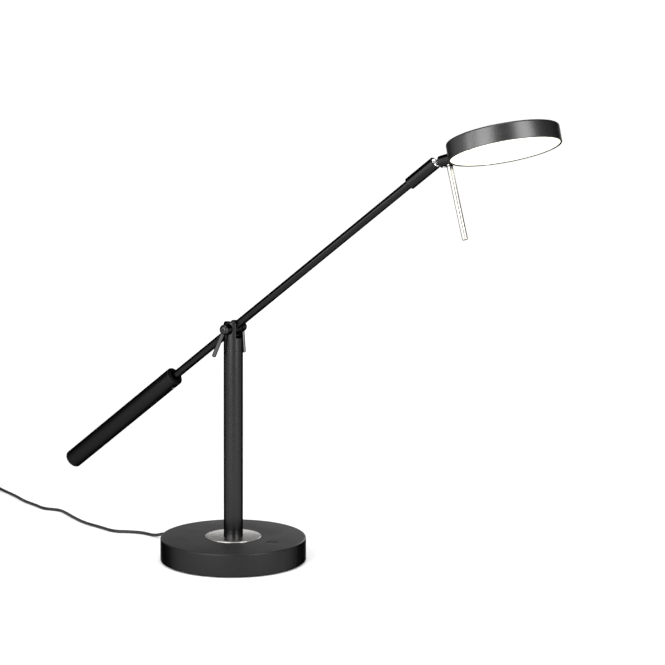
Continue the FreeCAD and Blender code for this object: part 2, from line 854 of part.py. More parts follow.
# ---------------------------------------------------------------- ball socket
# The sleeve is bored from behind for ball, seat and bush.  The last of its bore is a sphere about the
# ball's centre, which leaves a lip narrower than the ball.
def ball_socket():
    tail = "(ball_distance + sleeve_lip - sleeve_length)"
    sleeve = new_body("socket_sleeve")
    turned(sleeve, "X", [
        (tail, BALL_BORE),
        (tail, SLEEVE_RADIUS),
        ("ball_distance + sleeve_lip", SLEEVE_RADIUS),
        ("ball_distance + sleeve_lip", "0"),
        ("ball_distance", "0"),
        ("ball_distance", BALL_BORE),
    ])
    bevelled(sleeve, SLEEVE_RADIUS, lambda c: near(c.x, tail), "sleeve_tail / 2")
    rounded(sleeve, SLEEVE_RADIUS, lambda c: near(c.x, "ball_distance + sleeve_lip"), "sleeve_edge")
    sphere_cut(sleeve, "ball_distance", BALL_BORE)
    sleeve.Placement = ARM

    bush = new_body("arm_end_bush")
    turned(bush, "X", [
        (tail, "tube_radius + running_gap"),
        (tail, BALL_BORE),
        (SEAT_REAR + " - fit_gap", BALL_BORE),
        (SEAT_REAR + " - fit_gap", TUBE_BORE + " - tube_wall / 2"),
        (SEAT_REAR + " - 2 * seat_length", TUBE_BORE + " - tube_wall / 2"),
        (SEAT_REAR + " - 2 * seat_length", "tube_radius + running_gap"),
    ])
    bush.Placement = ARM

    seat = new_body("socket_seat")
    turned(seat, "X", [
        (SEAT_REAR, "ball_stem_radius"),
        (SEAT_REAR, BALL_BORE + " - running_gap"),
        (SEAT_REAR + " + seat_length", BALL_BORE + " - running_gap"),
        (SEAT_REAR + " + seat_length", "ball_stem_radius"),
    ])
    sphere_cut(seat, "ball_distance", BALL_BORE)
    seat.Placement = ARM


def ball_stud():
    ball = document.addObject("Part::Sphere", "Ball")
    ball.setExpression("Radius", linked("ball_radius"))
    stem = document.addObject("Part::Cylinder", "Stem")
    stem.setExpression("Radius", linked("ball_stem_radius"))
    stem.setExpression("Height", linked("ball_stem_reach"))
    stem.Placement = Placement(Vector(), Rotation(Vector(0, 1, 0), 90))
    stud = keep(document.addObject("Part::Fuse", "Stud"), "ball_stud")
    stud.Base = ball
    stud.Tool = stem
    stud.Placement = BALL


# ---------------------------------------------------------------- head
def neck():
    body = new_body("neck")
    slope = "neck_radius - neck_face_radius"
    turned(body, "X", [
        (NECK_START, "ball_stem_radius + running_gap"),
        (NECK_START, "neck_face_radius"),
        (NECK_START + " + " + slope, "neck_radius"),
        ("head_distance - head_radius + neck_radius", "neck_radius"),
        ("head_distance - head_radius + neck_radius", "0"),
        ("ball_stem_reach + fit_gap", "0"),
        ("ball_stem_reach + fit_gap", "ball_stem_radius + running_gap"),
    ])
    saddle = ring(body, "XY_Plane", "head_distance", "0", "head_radius")
    pocket(body, saddle, "neck_radius * 4", "Symmetric")
    rod_hole = ring(body, "XY_Plane", "0", "0", "handle_radius + running_gap")
    rod_hole.AttachmentOffset = Placement(Vector(), LEAN)
    rod_hole.setExpression("AttachmentOffset.Base.x", linked("handle_distance"))
    rod_hole.setExpression("AttachmentOffset.Base.z", linked("handle_radius / 2"))
    pocket(body, rod_hole, "neck_radius * 2")
    grub_hole = ring(body, "XY_Plane", "grub_distance", "0", "grub_radius + running_gap")
    pocket(body, grub_hole, "neck_radius * 2")
    screw_hole = ring(body, "YZ_Plane", "0", "0", "neck_screw_radius + running_gap",
                      "handle_distance + handle_radius")
    pocket(body, screw_hole, "neck_radius * 2", backward=True)
    body.Placement = NECK

    grub = new_body("neck_grub_screw")
    turned(grub, "Z", [
        ("-(neck_radius + grub_proud)", "0"),
        ("-(neck_radius + grub_proud)", "grub_radius"),
        ("-(ball_stem_radius + running_gap + fit_gap)", "grub_radius"),
        ("-(ball_stem_radius + running_gap + fit_gap)", "0"),
    ])
    bevelled(grub, "grub_radius", lambda c: near(c.z, "-(neck_radius + grub_proud)"), "grub_proud / 2")
    grub.Placement = NECK.multiply(Placement(Vector(value("grub_distance"), 0, 0), Rotation()))

    wall = "(head_distance - head_radius + head_wall)"
    screw = new_body("neck_screw")
    turned(screw, "X", [
        ("handle_distance + handle_radius + fit_gap", "0"),
        ("handle_distance + handle_radius + fit_gap", "neck_screw_radius"),
        (wall + " + fit_gap", "neck_screw_radius"),
        (wall + " + fit_gap", "neck_screw_head"),
        (wall + " + fit_gap + neck_screw_radius", "neck_screw_head"),
        (wall + " + fit_gap + neck_screw_radius", "0"),
    ])
    screw.Placement = NECK


def handle():
    rod = new_body("handle_rod")
    turned(rod, "Z", [
        ("-handle_reach", "0"),
        ("-handle_reach", "handle_radius"),
        ("handle_radius / 2", "handle_radius"),
        ("handle_radius / 2", "0"),
    ])
    rounded(rod, "handle_radius", lambda c: near(c.z, "-handle_reach"), "handle_radius / 5")
    collar = new_body("handle_collar")
    turned(collar, "Z", [
        ("-neck_radius - fit_gap - handle_collar_height", "handle_radius"),
        ("-neck_radius - fit_gap - handle_collar_height", "handle_collar_radius"),
        ("-neck_radius - fit_gap", "handle_collar_radius"),
        ("-neck_radius - fit_gap", "handle_radius"),
    ])
    rod.Placement = HANDLE
    collar.Placement = HANDLE


HEAD_TOP = "(head_height / 2)"
HEAD_CEILING = "(head_height / 2 - head_wall)"
HEAD_BORE = "(head_radius - head_wall)"


def head_shell():
    body = new_body("head_shell")
    turned(body, "Z", [
        ("-" + HEAD_TOP, HEAD_BORE),
        ("-" + HEAD_TOP, "head_radius"),
        (HEAD_TOP, "head_radius"),
        (HEAD_TOP, "0"),
        (HEAD_CEILING, "0"),
        (HEAD_CEILING, HEAD_BORE),
    ])
    hole = ring(body, "YZ_Plane", "0", "0", "neck_screw_radius + running_gap")
    pocket(body, hole, "head_radius * 2")
    rounded(body, "head_radius", lambda c: near(c.z, HEAD_TOP), "head_edge")
    rounded(body, HEAD_BORE, lambda c: near(c.z, HEAD_CEILING), "head_edge / 3")
    bevelled(body, "head_radius", lambda c: near(c.z, "-" + HEAD_TOP), "rim_edge")
    body.Placement = HEAD


def light_engine():
    plate_floor = HEAD_CEILING + " - heat_plate_thickness"
    plate = new_body("heat_plate")
    turned(plate, "Z", [
        (plate_floor, "0"),
        (plate_floor, HEAD_BORE + " - head_edge"),
        (HEAD_CEILING, HEAD_BORE + " - head_edge"),
        (HEAD_CEILING, "0"),
    ])
    plate.Placement = HEAD
    board_floor = plate_floor + " - board_thickness"
    board = new_body("led_board")
    turned(board, "Z", [
        (board_floor, "0"),
        (board_floor, "board_radius"),
        (plate_floor, "board_radius"),
        (plate_floor, "0"),
    ])
    board.Placement = HEAD
    lights = []
    for number in range(LED_COUNT):
        light = keep(document.addObject("Part::Box", "Led"), "led")
        light.setExpression("Length", linked("led_side"))
        light.setExpression("Width", linked("led_side"))
        light.setExpression("Height", linked("led_height"))
        turn = Placement(Vector(), Rotation(Vector(0, 0, 1), 360.0 * number / LED_COUNT))
        half = value("led_side / 2")
        corner = Vector(value("led_circle") - half, -half, value(board_floor + " - led_height"))
        light.Placement = HEAD.multiply(turn).multiply(Placement(corner, Rotation()))
        lights.append(light)
    grouped("leds", lights)


def diffuser():
    floor = "(diffuser_recess - head_height / 2)"
    body = new_body("diffuser")
    turned(body, "Z", [
        (floor, "0"),
        (floor, HEAD_BORE + " - fit_gap"),
        (floor + " + diffuser_thickness", HEAD_BORE + " - fit_gap"),
        (floor + " + diffuser_thickness", "0"),
    ])
    body.Placement = HEAD
    clips = []
    for angle in CLIP_ANGLES:
        clip = keep(document.addObject("Part::Box", "Clip"), "clip")
        clip.setExpression("Length", linked("clip_depth"))
        clip.setExpression("Width", linked("clip_width"))
        clip.setExpression("Height", linked("diffuser_recess - running_gap"))
        corner = Vector(
            math.sqrt(value(HEAD_BORE) ** 2 - value("clip_width / 2") ** 2) - value("clip_depth"),
            -value("clip_width / 2"),
            -value(HEAD_TOP) + value("running_gap"),
        )
        turn = Placement(Vector(), Rotation(Vector(0, 0, 1), angle))
        clip.Placement = HEAD.multiply(turn).multiply(Placement(corner, Rotation()))
        clips.append(clip)
    grouped("diffuser_clips", clips)


# ---------------------------------------------------------------- cord
GLAND = Placement(Vector(0, 0, value("gland_height")), Rotation(Vector(0, 0, 1), value("gland_angle")))


def cord_gland():
    body = new_body("cord_gland")
    inner = SHELL_BORE + " - fit_gap"
    turned(body, "X", [
        (inner + " - gland_flange", "0"),
        (inner + " - gland_flange", "gland_tip_radius + shell_wall / 2"),
        (inner, "gland_tip_radius + shell_wall / 2"),
        (inner, "gland_tip_radius"),
        ("base_radius", "gland_tip_radius"),
        ("base_radius", "gland_root_radius"),
        ("base_radius + gland_flange", "gland_root_radius"),
        ("base_radius + gland_length", "gland_tip_radius"),
        ("base_radius + gland_length", "0"),
    ])
    body.Placement = GLAND


# Straight runs joined by tangent arcs, each arc as large as the shorter of its two runs allows.
def bent_path(points):
    edges = []
    start = points[0]
    tightest = 1e9
    for before, corner, after in zip(points, points[1:], points[2:]):
        back = (before - corner).normalize()
        ahead = (after - corner).normalize()
        half_turn = (math.pi - back.getAngle(ahead)) / 2
        shorter = min((before - corner).Length, (after - corner).Length)
        radius = 0.45 * shorter / math.tan(half_turn)
        tangent = 0.45 * shorter
        inward = (back + ahead).normalize()
        middle = corner + inward * (radius / math.cos(half_turn) - radius)
        first = corner + back * tangent
        last = corner + ahead * tangent
        edges.append(Part.LineSegment(start, first).toShape())
        edges.append(Part.Arc(first, middle, last).toShape())
        print("cord bend: radius %.1f mm, turn %.1f degrees" % (radius, math.degrees(2 * half_turn)))
        tightest = min(tightest, radius)
        start = last
    edges.append(Part.LineSegment(start, points[-1]).toShape())
    print("tightest cord bend: %.1f mm" % tightest)
    return Part.Wire(edges)


def tube_along(wire, radius):
    start = wire.Edges[0].valueAt(wire.Edges[0].FirstParameter)
    heading = wire.Edges[0].tangentAt(wire.Edges[0].FirstParameter)
    circle = Part.Wire(Part.Circle(start, heading, radius).toShape())
    return wire.makePipeShell([circle], True, False)


def report_tube(name, solid, wire, radius):
    expected = math.pi * radius ** 2 * wire.Length
    print("%s: length %.1f mm, volume %.1f, section times length %.1f"
          % (name, wire.Length, solid.Volume, expected))


# A half turn that also climbs, as two arcs that meet halfway: both ends head opposite ways.
def climbing_half_turn(first, heading, last):
    span = (last - first).Length / 2
    left = first + heading * span
    right = last + heading * span
    middle = (left + right) * 0.5
    arcs = []
    for start, corner, end in ((first, left, middle), (middle, right, last)):
        back = (start - corner).normalize()
        ahead = (end - corner).normalize()
        reach = (start - corner).Length
        half = back.getAngle(ahead) / 2
        radius = reach * math.tan(half)
        through = corner + (back + ahead).normalize() * (radius / math.sin(half) - radius)
        arcs.append(Part.Arc(start, through, end).toShape())
    return arcs


# The put-away length: layers that spiral in and out by turns, in half turns.  A layer ends a little
# further in, or out, than its own spacing, which leaves room for the half turn that climbs.
def coil_path(start, heading):
    up = Vector(0, 0, 1)
    out = heading.cross(up).normalize()
    pitch = value("coil_pitch")
    outer = value("coil_radius") + pitch * COIL_HALF_TURNS / 4
    centre = start - out * outer
    stations = []
    for layer in range(COIL_LAYERS):
        steps = list(range(COIL_HALF_TURNS + 1))
        if layer % 2:
            steps.reverse()
        for step in steps:
            reach = outer - step * pitch / 2
            if step == COIL_HALF_TURNS:
                reach -= value("coil_climb_room")
            if step == 0 and 0 < layer < COIL_LAYERS - 1:
                reach += value("coil_climb_room")
            stations.append((reach, layer))
    begin = start - heading * 2 * value("cord_radius")
    edges = [Part.LineSegment(begin, start).toShape()]
    place = start
    side = 1
    for (before, low), (after, high) in zip(stations, stations[1:]):
        side = -side
        target = centre + out * side * after + up * pitch * high
        if high > low:
            edges += climbing_half_turn(place, heading * -side, target)
        else:
            top = (place + target) * 0.5 - heading * side * (before + after) / 2
            edges.append(Part.Arc(place, top, target).toShape())
        place = target
    tail = place + heading * side * 2 * value("cord_radius")
    edges.append(Part.LineSegment(place, tail).toShape())
    return Part.Wire(edges), tail, heading * side


# The least distance between turns, on points a millimetre apart, less one cord.
def coil_gap(wire):
    points = wire.discretize(Distance=1.0)
    apart = int(4 * value("cord_radius")) + 2
    least = 1e9
    for index, point in enumerate(points):
        for other in points[index + apart:]:
            least = min(least, point.distanceToPoint(other))
    return least - 2 * value("cord_radius")


def tube_part(label, wire):
    solid = tube_along(wire, value("cord_radius"))
    part = keep(document.addObject("Part::Feature", "Tube"), label)
    part.Shape = solid
    report_tube(label, solid, wire, value("cord_radius"))
    return part


# The cord comes down from the coil's top layer to the height of the plug, in two gentle bends.
def cord():
    exit_point = GLAND.multVec(Vector(value("base_radius + gland_length"), 0, 0))
    bends = [Vector(*bend) for bend in CORD_BENDS]
    coil_start = bends[-1]
    heading = (coil_start - bends[-2]).normalize()
    lead_end = coil_start - heading * 2 * value("cord_radius")
    tube_part("cord_lead", bent_path([exit_point] + bends[:-1] + [lead_end]))
    wire, tail, direction = coil_path(coil_start, heading)
    tube_part("cord_coil", wire)
    print("least gap between the coil's turns: %.2f mm" % coil_gap(wire))
    drop = tail.z - value("plug_thickness") / 2
    run = value("tail_run")
    first = tail + direction * run
    second = first + direction * (drop / math.tan(math.radians(value("tail_slope")))) - Vector(0, 0, drop)
    end = second + direction * run
    tube_part("cord_tail", bent_path([tail, first, second, end]))
    return end, direction


# Flat plug: a tapered relief, a body that narrows toward the cord, and two round pins.
def plug(tail, direction):
    turn = math.degrees(math.atan2(direction.y, direction.x))
    place = Placement(tail, Rotation(Vector(0, 0, 1), turn))
    shoulder = "plug_relief_length"
    front = "(plug_relief_length + plug_length)"
    body = new_body("plug_body")
    sketch = outline(body, "XY_Plane", [
        (shoulder, "-plug_width / 4"),
        (front + " - plug_nose", "-plug_width / 2"),
        (front, "-plug_width / 2"),
        (front, "plug_width / 2"),
        (front + " - plug_nose", "plug_width / 2"),
        (shoulder, "plug_width / 4"),
    ])
    slab = pad(body, sketch, "plug_thickness", "Symmetric")
    names = []
    for index, edge in enumerate(slab.Shape.Edges, start=1):
        box = edge.BoundBox
        upright = box.ZLength > value("plug_thickness") / 2
        inside = box.XMax < value(front) - 1
        level = box.ZLength < 1e-6 and box.XMin < value(front) - 1
        if upright and inside or level:
            names.append("Edge%d" % index)
    fillet = body.newObject("PartDesign::Fillet", "Fillet")
    fillet.Base = (slab, names)
    fillet.setExpression("Radius", linked("plug_thickness / 5"))
    document.recompute()
    relief = outline(body, "XZ_Plane", [
        ("0", "0"),
        ("0", "gland_tip_radius"),
        (shoulder + " + plug_thickness / 4", "plug_thickness / 2 - pin_radius / 2"),
        (shoulder + " + plug_thickness / 4", "0"),
    ])
    feature = body.newObject("PartDesign::Revolution", "Revolution")
    feature.Profile = relief
    feature.ReferenceAxis = (relief, ["H_Axis"])
    feature.Angle = 360
    document.recompute()
    body.Placement = place

    pins = []
    for side in (-1, 1):
        pin = new_body("plug_pin")
        turned(pin, "X", [
            (front, "0"),
            (front, "pin_radius"),
            (front + " + pin_length", "pin_radius"),
            (front + " + pin_length", "0"),
        ])
        rounded(pin, "pin_radius", lambda c: near(c.x, front + " + pin_length"), "pin_radius * 0.6")
        offset = Placement(Vector(0, side * value("pin_spacing") / 2, 0), Rotation())
        pin.Placement = place.multiply(offset)
        pins.append(pin)
    grouped("plug_pins", pins)


# ---------------------------------------------------------------- building
base_shell()
base_pad()
base_plate()
plate_screws()
base_ballast()
trim_disc()
driver_case()
switch_body()
switch_bezel()
switch_button()
post_foot()
post_tube()
fork()
pivot_bolt()
lever("front")
lever("rear")
pivot_block()
arm_tubes()
counterweight()
ball_socket()
ball_stud()
neck()
handle()
head_shell()
light_engine()
diffuser()
cord_gland()
plug(*cord())

document.recompute()

for thing in document.Objects:
    if "Invalid" in thing.State or "Error" in thing.State:
        raise RuntimeError("failed: %s %s" % (thing.Name, thing.Label))
for part in subparts:
    if part.Shape.isNull() or not part.Shape.isValid():
        raise RuntimeError("bad shape: " + part.Label)

os.makedirs("parts", exist_ok=True)
for part in subparts:
    part.Shape.exportStep("parts/%s.step" % part.Label)
print("%d sub-parts written" % len(subparts))
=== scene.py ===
import json
import math

import bmesh
import bpy
from mathutils import Matrix, Vector


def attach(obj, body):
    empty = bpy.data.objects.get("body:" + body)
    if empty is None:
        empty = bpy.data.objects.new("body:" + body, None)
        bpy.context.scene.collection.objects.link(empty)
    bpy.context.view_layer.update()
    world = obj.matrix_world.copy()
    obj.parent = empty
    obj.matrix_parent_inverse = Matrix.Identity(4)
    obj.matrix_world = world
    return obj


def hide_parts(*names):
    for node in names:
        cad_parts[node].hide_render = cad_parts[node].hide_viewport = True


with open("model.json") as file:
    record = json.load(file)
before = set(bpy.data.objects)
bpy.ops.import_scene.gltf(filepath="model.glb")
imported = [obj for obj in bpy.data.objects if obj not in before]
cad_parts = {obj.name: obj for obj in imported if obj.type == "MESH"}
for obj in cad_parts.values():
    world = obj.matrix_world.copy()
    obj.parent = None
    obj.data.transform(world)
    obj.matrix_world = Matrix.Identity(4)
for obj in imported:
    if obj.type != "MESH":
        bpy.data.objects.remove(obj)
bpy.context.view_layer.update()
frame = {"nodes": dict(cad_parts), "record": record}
print("frame loaded:", len(frame["nodes"]), "nodes")


# The lens and place that give the photograph's view.
viewpoint = {
    "place": (1.2512, -1.72938, 0.55934),
    "azimuth": 33.0,
    "downward": 8.18,
    "roll": 0.4,
    "lens": 107.63,
    "sensor": 36.0,
}


def addCamera():
    data = bpy.data.cameras.new("camera")
    data.lens = viewpoint["lens"]
    data.sensor_width = viewpoint["sensor"]
    data.clip_end = 40
    camera = bpy.data.objects.new("camera", data)
    turn = Matrix.Rotation(math.radians(viewpoint["azimuth"]), 4, "Z")
    tilt = Matrix.Rotation(math.radians(90 - viewpoint["downward"]), 4, "X")
    roll = Matrix.Rotation(math.radians(viewpoint["roll"]), 4, "Z")
    camera.matrix_world = Matrix.Translation(viewpoint["place"]) @ turn @ tilt @ roll
    bpy.context.scene.collection.objects.link(camera)
    bpy.context.scene.camera = camera


addCamera()
print("camera set")


# The cord: a lead laid along the table, the put-away coil, and a tail down to the plug.
cordSizes = {
    "radius": 0.0018,
    "exit": (-0.10173, 0.02162, 0.0085),
    "leadPoints": [
        (-0.1135, 0.0241, 0.0085),
        (-0.1310, 0.0279, 0.0019),
        (-0.1500, 0.0320, 0.0019),
        (-0.1670, 0.0275, 0.0019),
        (-0.1840, 0.0175, 0.0019),
        (-0.2080, 0.0245, 0.0019),
        (-0.2360, 0.0300, 0.0019),
        (-0.2620, 0.0415, 0.0019),
        (-0.2880, 0.0560, 0.0019),
        (-0.3060, 0.0645, 0.0019),
        (-0.3260, 0.0580, 0.0019),
        (-0.3460, 0.0670, 0.0019),
        (-0.3720, 0.0750, 0.0019),
        (-0.4010, 0.0910, 0.0019),
        (-0.4320, 0.1040, 0.0019),
        (-0.4650, 0.1200, 0.0019),
    ],
    "coilRadius": 0.0216,
    "coilPitch": 0.00408,
    "climbRoom": 0.0007,
    "layers": 4,
    "halfTurns": 4,
    "pointsPerHalfTurn": 10,
    "tailRun": 0.013,
    "tailSlope": 24.0,
    "plugAxis": 0.0058,
    "length": 1.712,
    "sides": 5,
}


# The coil spirals in and out by turns, and climbs one layer in the half turn where it turns back.
def coilStations():
    outer = cordSizes["coilRadius"] + cordSizes["coilPitch"] * cordSizes["halfTurns"] / 4
    stations = []
    for layer in range(cordSizes["layers"]):
        steps = list(range(cordSizes["halfTurns"] + 1))
        if layer % 2:
            steps.reverse()
        for step in steps:
            reach = outer - step * cordSizes["coilPitch"] / 2
            if step == cordSizes["halfTurns"]:
                reach -= cordSizes["climbRoom"]
            if step == 0 and 0 < layer < cordSizes["layers"] - 1:
                reach += cordSizes["climbRoom"]
            stations.append((reach, layer))
    return outer, stations


def coilPoints(start, heading):
    out = heading.cross(Vector((0, 0, 1)))
    outer, stations = coilStations()
    centre = start - out * outer
    count = cordSizes["pointsPerHalfTurn"]
    # a control polygon lies this much outside the circle that its spline follows
    swell = 1 / math.cos(math.pi / count) ** 0.5
    points = []
    turned = 0.0
    for (before, low), (after, high) in zip(stations, stations[1:]):
        for step in range(1, count + 1):
            share = (step - 0.5) / count
            angle = turned + math.pi * share
            reach = (before + (after - before) * share) * swell
            rise = (low + (high - low) * share) * cordSizes["coilPitch"]
            place = centre + out * reach * math.cos(angle) + heading * reach * math.sin(angle)
            points.append(place + Vector((0, 0, rise)))
        turned += math.pi
    last = stations[-1]
    end = centre + out * last[0] * math.cos(turned) + heading * last[0] * math.sin(turned)
    end.z = start.z + last[1] * cordSizes["coilPitch"]
    return points, end, -heading if round(turned / math.pi) % 2 else heading


def tailPoints(end, direction):
    drop = end.z - cordSizes["plugAxis"]
    run = cordSizes["tailRun"]
    first = end + direction * run
    slope = drop / math.tan(math.radians(cordSizes["tailSlope"]))
    second = first + direction * slope - Vector((0, 0, drop))
    return [end, first, second, second + direction * run]


def layCord():
    lead = [Vector(point) for point in cordSizes["leadPoints"]]
    heading = (lead[-1] - lead[-2]).normalized()
    turns, end, direction = coilPoints(lead[-1], heading)
    points = [Vector(cordSizes["exit"])] + lead + turns + tailPoints(end, direction)
    curve = bpy.data.curves.new("powerCord", "CURVE")
    curve.dimensions = "3D"
    curve.bevel_depth = 1
    curve.bevel_resolution = cordSizes["sides"]
    curve.use_fill_caps = True
    curve.resolution_u = 6
    spline = curve.splines.new("NURBS")
    spline.points.add(len(points) - 1)
    for target, point in zip(spline.points, points):
        target.co = (*point, 1)
        target.radius = cordSizes["radius"]
    spline.order_u = 3
    spline.use_endpoint_u = True
    cord = bpy.data.objects.new("powerCord", curve)
    bpy.context.scene.collection.objects.link(cord)
    turn = math.atan2(direction.y, direction.x)
    plugStart = Matrix.Translation(tailPoints(end, direction)[-1])
    return cord, plugStart @ Matrix.Rotation(turn, 4, "Z")


powerCord, plugPlace = layCord()
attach(powerCord, "base")
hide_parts("cord_lead", "cord_coil", "cord_tail")
print("cord laid")


# A plain pale studio: a floor that curves up far away, and soft boxes round the lamp.
studio = {
    "floorRadius": 9.0,
    "rimRadius": 2.5,
    "rimSteps": 8,
    "rimTurn": 80.0,
    "floorTone": 0.8,
    "footShade": (0.0795, 0.0815),
    "nearGlow": (0.4, 0.3),
    "farGlow": (2.4, 0.86),
    "skyTone": 0.22,
    "centre": (0.05, 0.0),
    "softboxes": [
        {"name": "leftSoftbox", "bearing": 1, "distance": 1.0, "span": (0.12, 1.5),
         "width": 0.66, "power": 15},
        {"name": "rightSoftbox", "bearing": 76, "distance": 1.0, "span": (0.12, 1.3),
         "width": 0.5, "power": 10.5},
        {"name": "rearSoftbox", "bearing": 190, "distance": 1.9, "span": (0.1, 1.4),
         "width": 0.9, "power": 9},
        {"name": "armSoftbox", "bearing": -33, "distance": 1.0, "span": (0.2, 1.3),
         "width": 0.2, "power": 4},
    ],
    "topSoftbox": {"height": 2.2, "size": 1.4, "power": 16},
}


def clearSelection():
    if bpy.context.object and bpy.context.object.mode != "OBJECT":
        bpy.ops.object.mode_set(mode="OBJECT")
    bpy.ops.object.select_all(action="DESELECT")


def addFloor():
    clearSelection()
    bpy.ops.mesh.primitive_circle_add(vertices=128, radius=studio["floorRadius"], fill_type="NGON")
    floor = bpy.context.object
    floor.name = "studioFloor"
    bpy.ops.object.mode_set(mode="EDIT")
    bpy.ops.mesh.select_all(action="SELECT")
    reach = studio["floorRadius"]
    climbed = 0.0
    for step in range(1, studio["rimSteps"] + 1):
        angle = math.radians(studio["rimTurn"]) * step / studio["rimSteps"]
        wider = studio["floorRadius"] + studio["rimRadius"] * math.sin(angle)
        higher = studio["rimRadius"] * (1 - math.cos(angle))
        bpy.ops.mesh.region_to_loop()
        bpy.ops.mesh.extrude_edges_move(TRANSFORM_OT_translate={"value": (0, 0, higher - climbed)})
        bpy.ops.transform.resize(value=(wider / reach, wider / reach, 1))
        reach = wider
        climbed = higher
    bpy.ops.object.mode_set(mode="OBJECT")
    bpy.ops.object.shade_smooth()
    return floor


def shownRays(nodes, links):
    path = nodes.new("ShaderNodeLightPath")
    seen = nodes.new("ShaderNodeMath")
    seen.operation = "MAXIMUM"
    links.new(path.outputs["Is Camera Ray"], seen.inputs[0])
    links.new(path.outputs["Is Glossy Ray"], seen.inputs[1])
    shown = nodes.new("ShaderNodeMath")
    shown.operation = "MAXIMUM"
    links.new(seen.outputs[0], shown.inputs[0])
    links.new(path.outputs["Is Transmission Ray"], shown.inputs[1])
    return shown.outputs[0]


def paintFloor(floor):
    material = bpy.data.materials.new("paleFloor")
    material.use_nodes = True
    nodes, links = material.node_tree.nodes, material.node_tree.links
    nodes.clear()
    matte = nodes.new("ShaderNodeBsdfDiffuse")
    tone = studio["floorTone"]
    matte.inputs["Color"].default_value = (tone, tone, tone, 1)
    glow = nodes.new("ShaderNodeEmission")
    place = nodes.new("ShaderNodeTexCoord")
    reach = nodes.new("ShaderNodeVectorMath")
    reach.operation = "LENGTH"
    links.new(place.outputs["Object"], reach.inputs[0])
    rise = nodes.new("ShaderNodeMapRange")
    rise.interpolation_type = "SMOOTHSTEP"
    rise.inputs["From Min"].default_value, rise.inputs["To Min"].default_value = studio["nearGlow"]
    rise.inputs["From Max"].default_value, rise.inputs["To Max"].default_value = studio["farGlow"]
    links.new(reach.outputs["Value"], rise.inputs["Value"])
    under = nodes.new("ShaderNodeMapRange")  # no glow in the gap below the foot
    under.inputs["From Min"].default_value, under.inputs["From Max"].default_value = studio["footShade"]
    links.new(reach.outputs["Value"], under.inputs["Value"])
    lit = nodes.new("ShaderNodeMath")
    lit.operation = "MULTIPLY"
    links.new(rise.outputs["Result"], lit.inputs[0])
    links.new(under.outputs["Result"], lit.inputs[1])
    strength = nodes.new("ShaderNodeMath")
    strength.operation = "MULTIPLY"
    links.new(lit.outputs[0], strength.inputs[1])
    links.new(shownRays(nodes, links), strength.inputs[0])
    links.new(strength.outputs[0], glow.inputs["Strength"])
    both = nodes.new("ShaderNodeAddShader")
    links.new(matte.outputs[0], both.inputs[0])
    links.new(glow.outputs[0], both.inputs[1])
    output = nodes.new("ShaderNodeOutputMaterial")
    links.new(both.outputs[0], output.inputs["Surface"])
    floor.data.materials.append(material)


def addLight(name, place, turn, size, power):
    data = bpy.data.lights.new(name, "AREA")
    data.shape = "RECTANGLE"
    data.size, data.size_y = size
    data.energy = power
    lamp = bpy.data.objects.new(name, data)
    lamp.location = place
    lamp.rotation_euler = turn
    lamp.visible_camera = False
    bpy.context.scene.collection.objects.link(lamp)


# Each side box stands upright and faces the lamp.
def addSoftboxes():
    across, along = studio["centre"]
    for box in studio["softboxes"]:
        low, high = box["span"]
        bearing = math.radians(box["bearing"])
        place = (
            across + box["distance"] * math.sin(bearing),
            along - box["distance"] * math.cos(bearing),
            (low + high) / 2,
        )
        size = (box["width"], high - low)
        addLight(box["name"], place, (math.radians(90), 0, bearing), size, box["power"])
    box = studio["topSoftbox"]
    size = (box["size"], box["size"])
    addLight("topSoftbox", (across, along, box["height"]), (0, 0, 0), size, box["power"])


def lightStudio():
    scene = bpy.context.scene
    scene.view_settings.view_transform = "Standard"
    world = bpy.data.worlds.new("studioWorld")
    world.use_nodes = True
    tone = studio["skyTone"]
    world.node_tree.nodes["Background"].inputs["Color"].default_value = (tone, tone, tone, 1)
    scene.world = world
    addSoftboxes()


studioFloor = addFloor()
paintFloor(studioFloor)
lightStudio()
print("studio lit")


# Finishes.  Each is built round one glossy shader with its grain on the object's own coordinates.
def newFinish(name, colour, roughness, metallic=0.0, specular=0.5):
    material = bpy.data.materials.new(name)
    material.use_nodes = True
    nodes, links = material.node_tree.nodes, material.node_tree.links
    shader = nodes["Principled BSDF"]
    shader.inputs["Base Color"].default_value = (*colour, 1)
    shader.inputs["Roughness"].default_value = roughness
    shader.inputs["Metallic"].default_value = metallic
    shader.inputs["Specular IOR Level"].default_value = specular
    return material, nodes, links, shader


def grainNoise(nodes, links, scale, detail=3.0, stretch=(1, 1, 1)):
    place = nodes.new("ShaderNodeTexCoord")
    mapping = nodes.new("ShaderNodeMapping")
    mapping.inputs["Scale"].default_value = stretch
    noise = nodes.new("ShaderNodeTexNoise")
    noise.inputs["Scale"].default_value = scale
    noise.inputs["Detail"].default_value = detail
    links.new(place.outputs["Object"], mapping.inputs["Vector"])
    links.new(mapping.outputs["Vector"], noise.inputs["Vector"])
    return noise.outputs["Fac"]


def spread(nodes, links, source, low, high):
    span = nodes.new("ShaderNodeMapRange")
    span.inputs["From Min"].default_value = 0.3
    span.inputs["From Max"].default_value = 0.7
    span.inputs["To Min"].default_value = low
    span.inputs["To Max"].default_value = high
    links.new(source, span.inputs["Value"])
    return span.outputs["Result"]


def tinted(nodes, links, source, dark, light):
    mix = nodes.new("ShaderNodeMix")
    mix.data_type = "RGBA"
    mix.inputs["A"].default_value = (*dark, 1)
    mix.inputs["B"].default_value = (*light, 1)
    links.new(source, mix.inputs["Factor"])
    return mix.outputs["Result"]


def raised(nodes, links, source, strength, distance):
    bump = nodes.new("ShaderNodeBump")
    bump.inputs["Strength"].default_value = strength
    bump.inputs["Distance"].default_value = distance
    links.new(source, bump.inputs["Height"])
    return bump.outputs["Normal"]


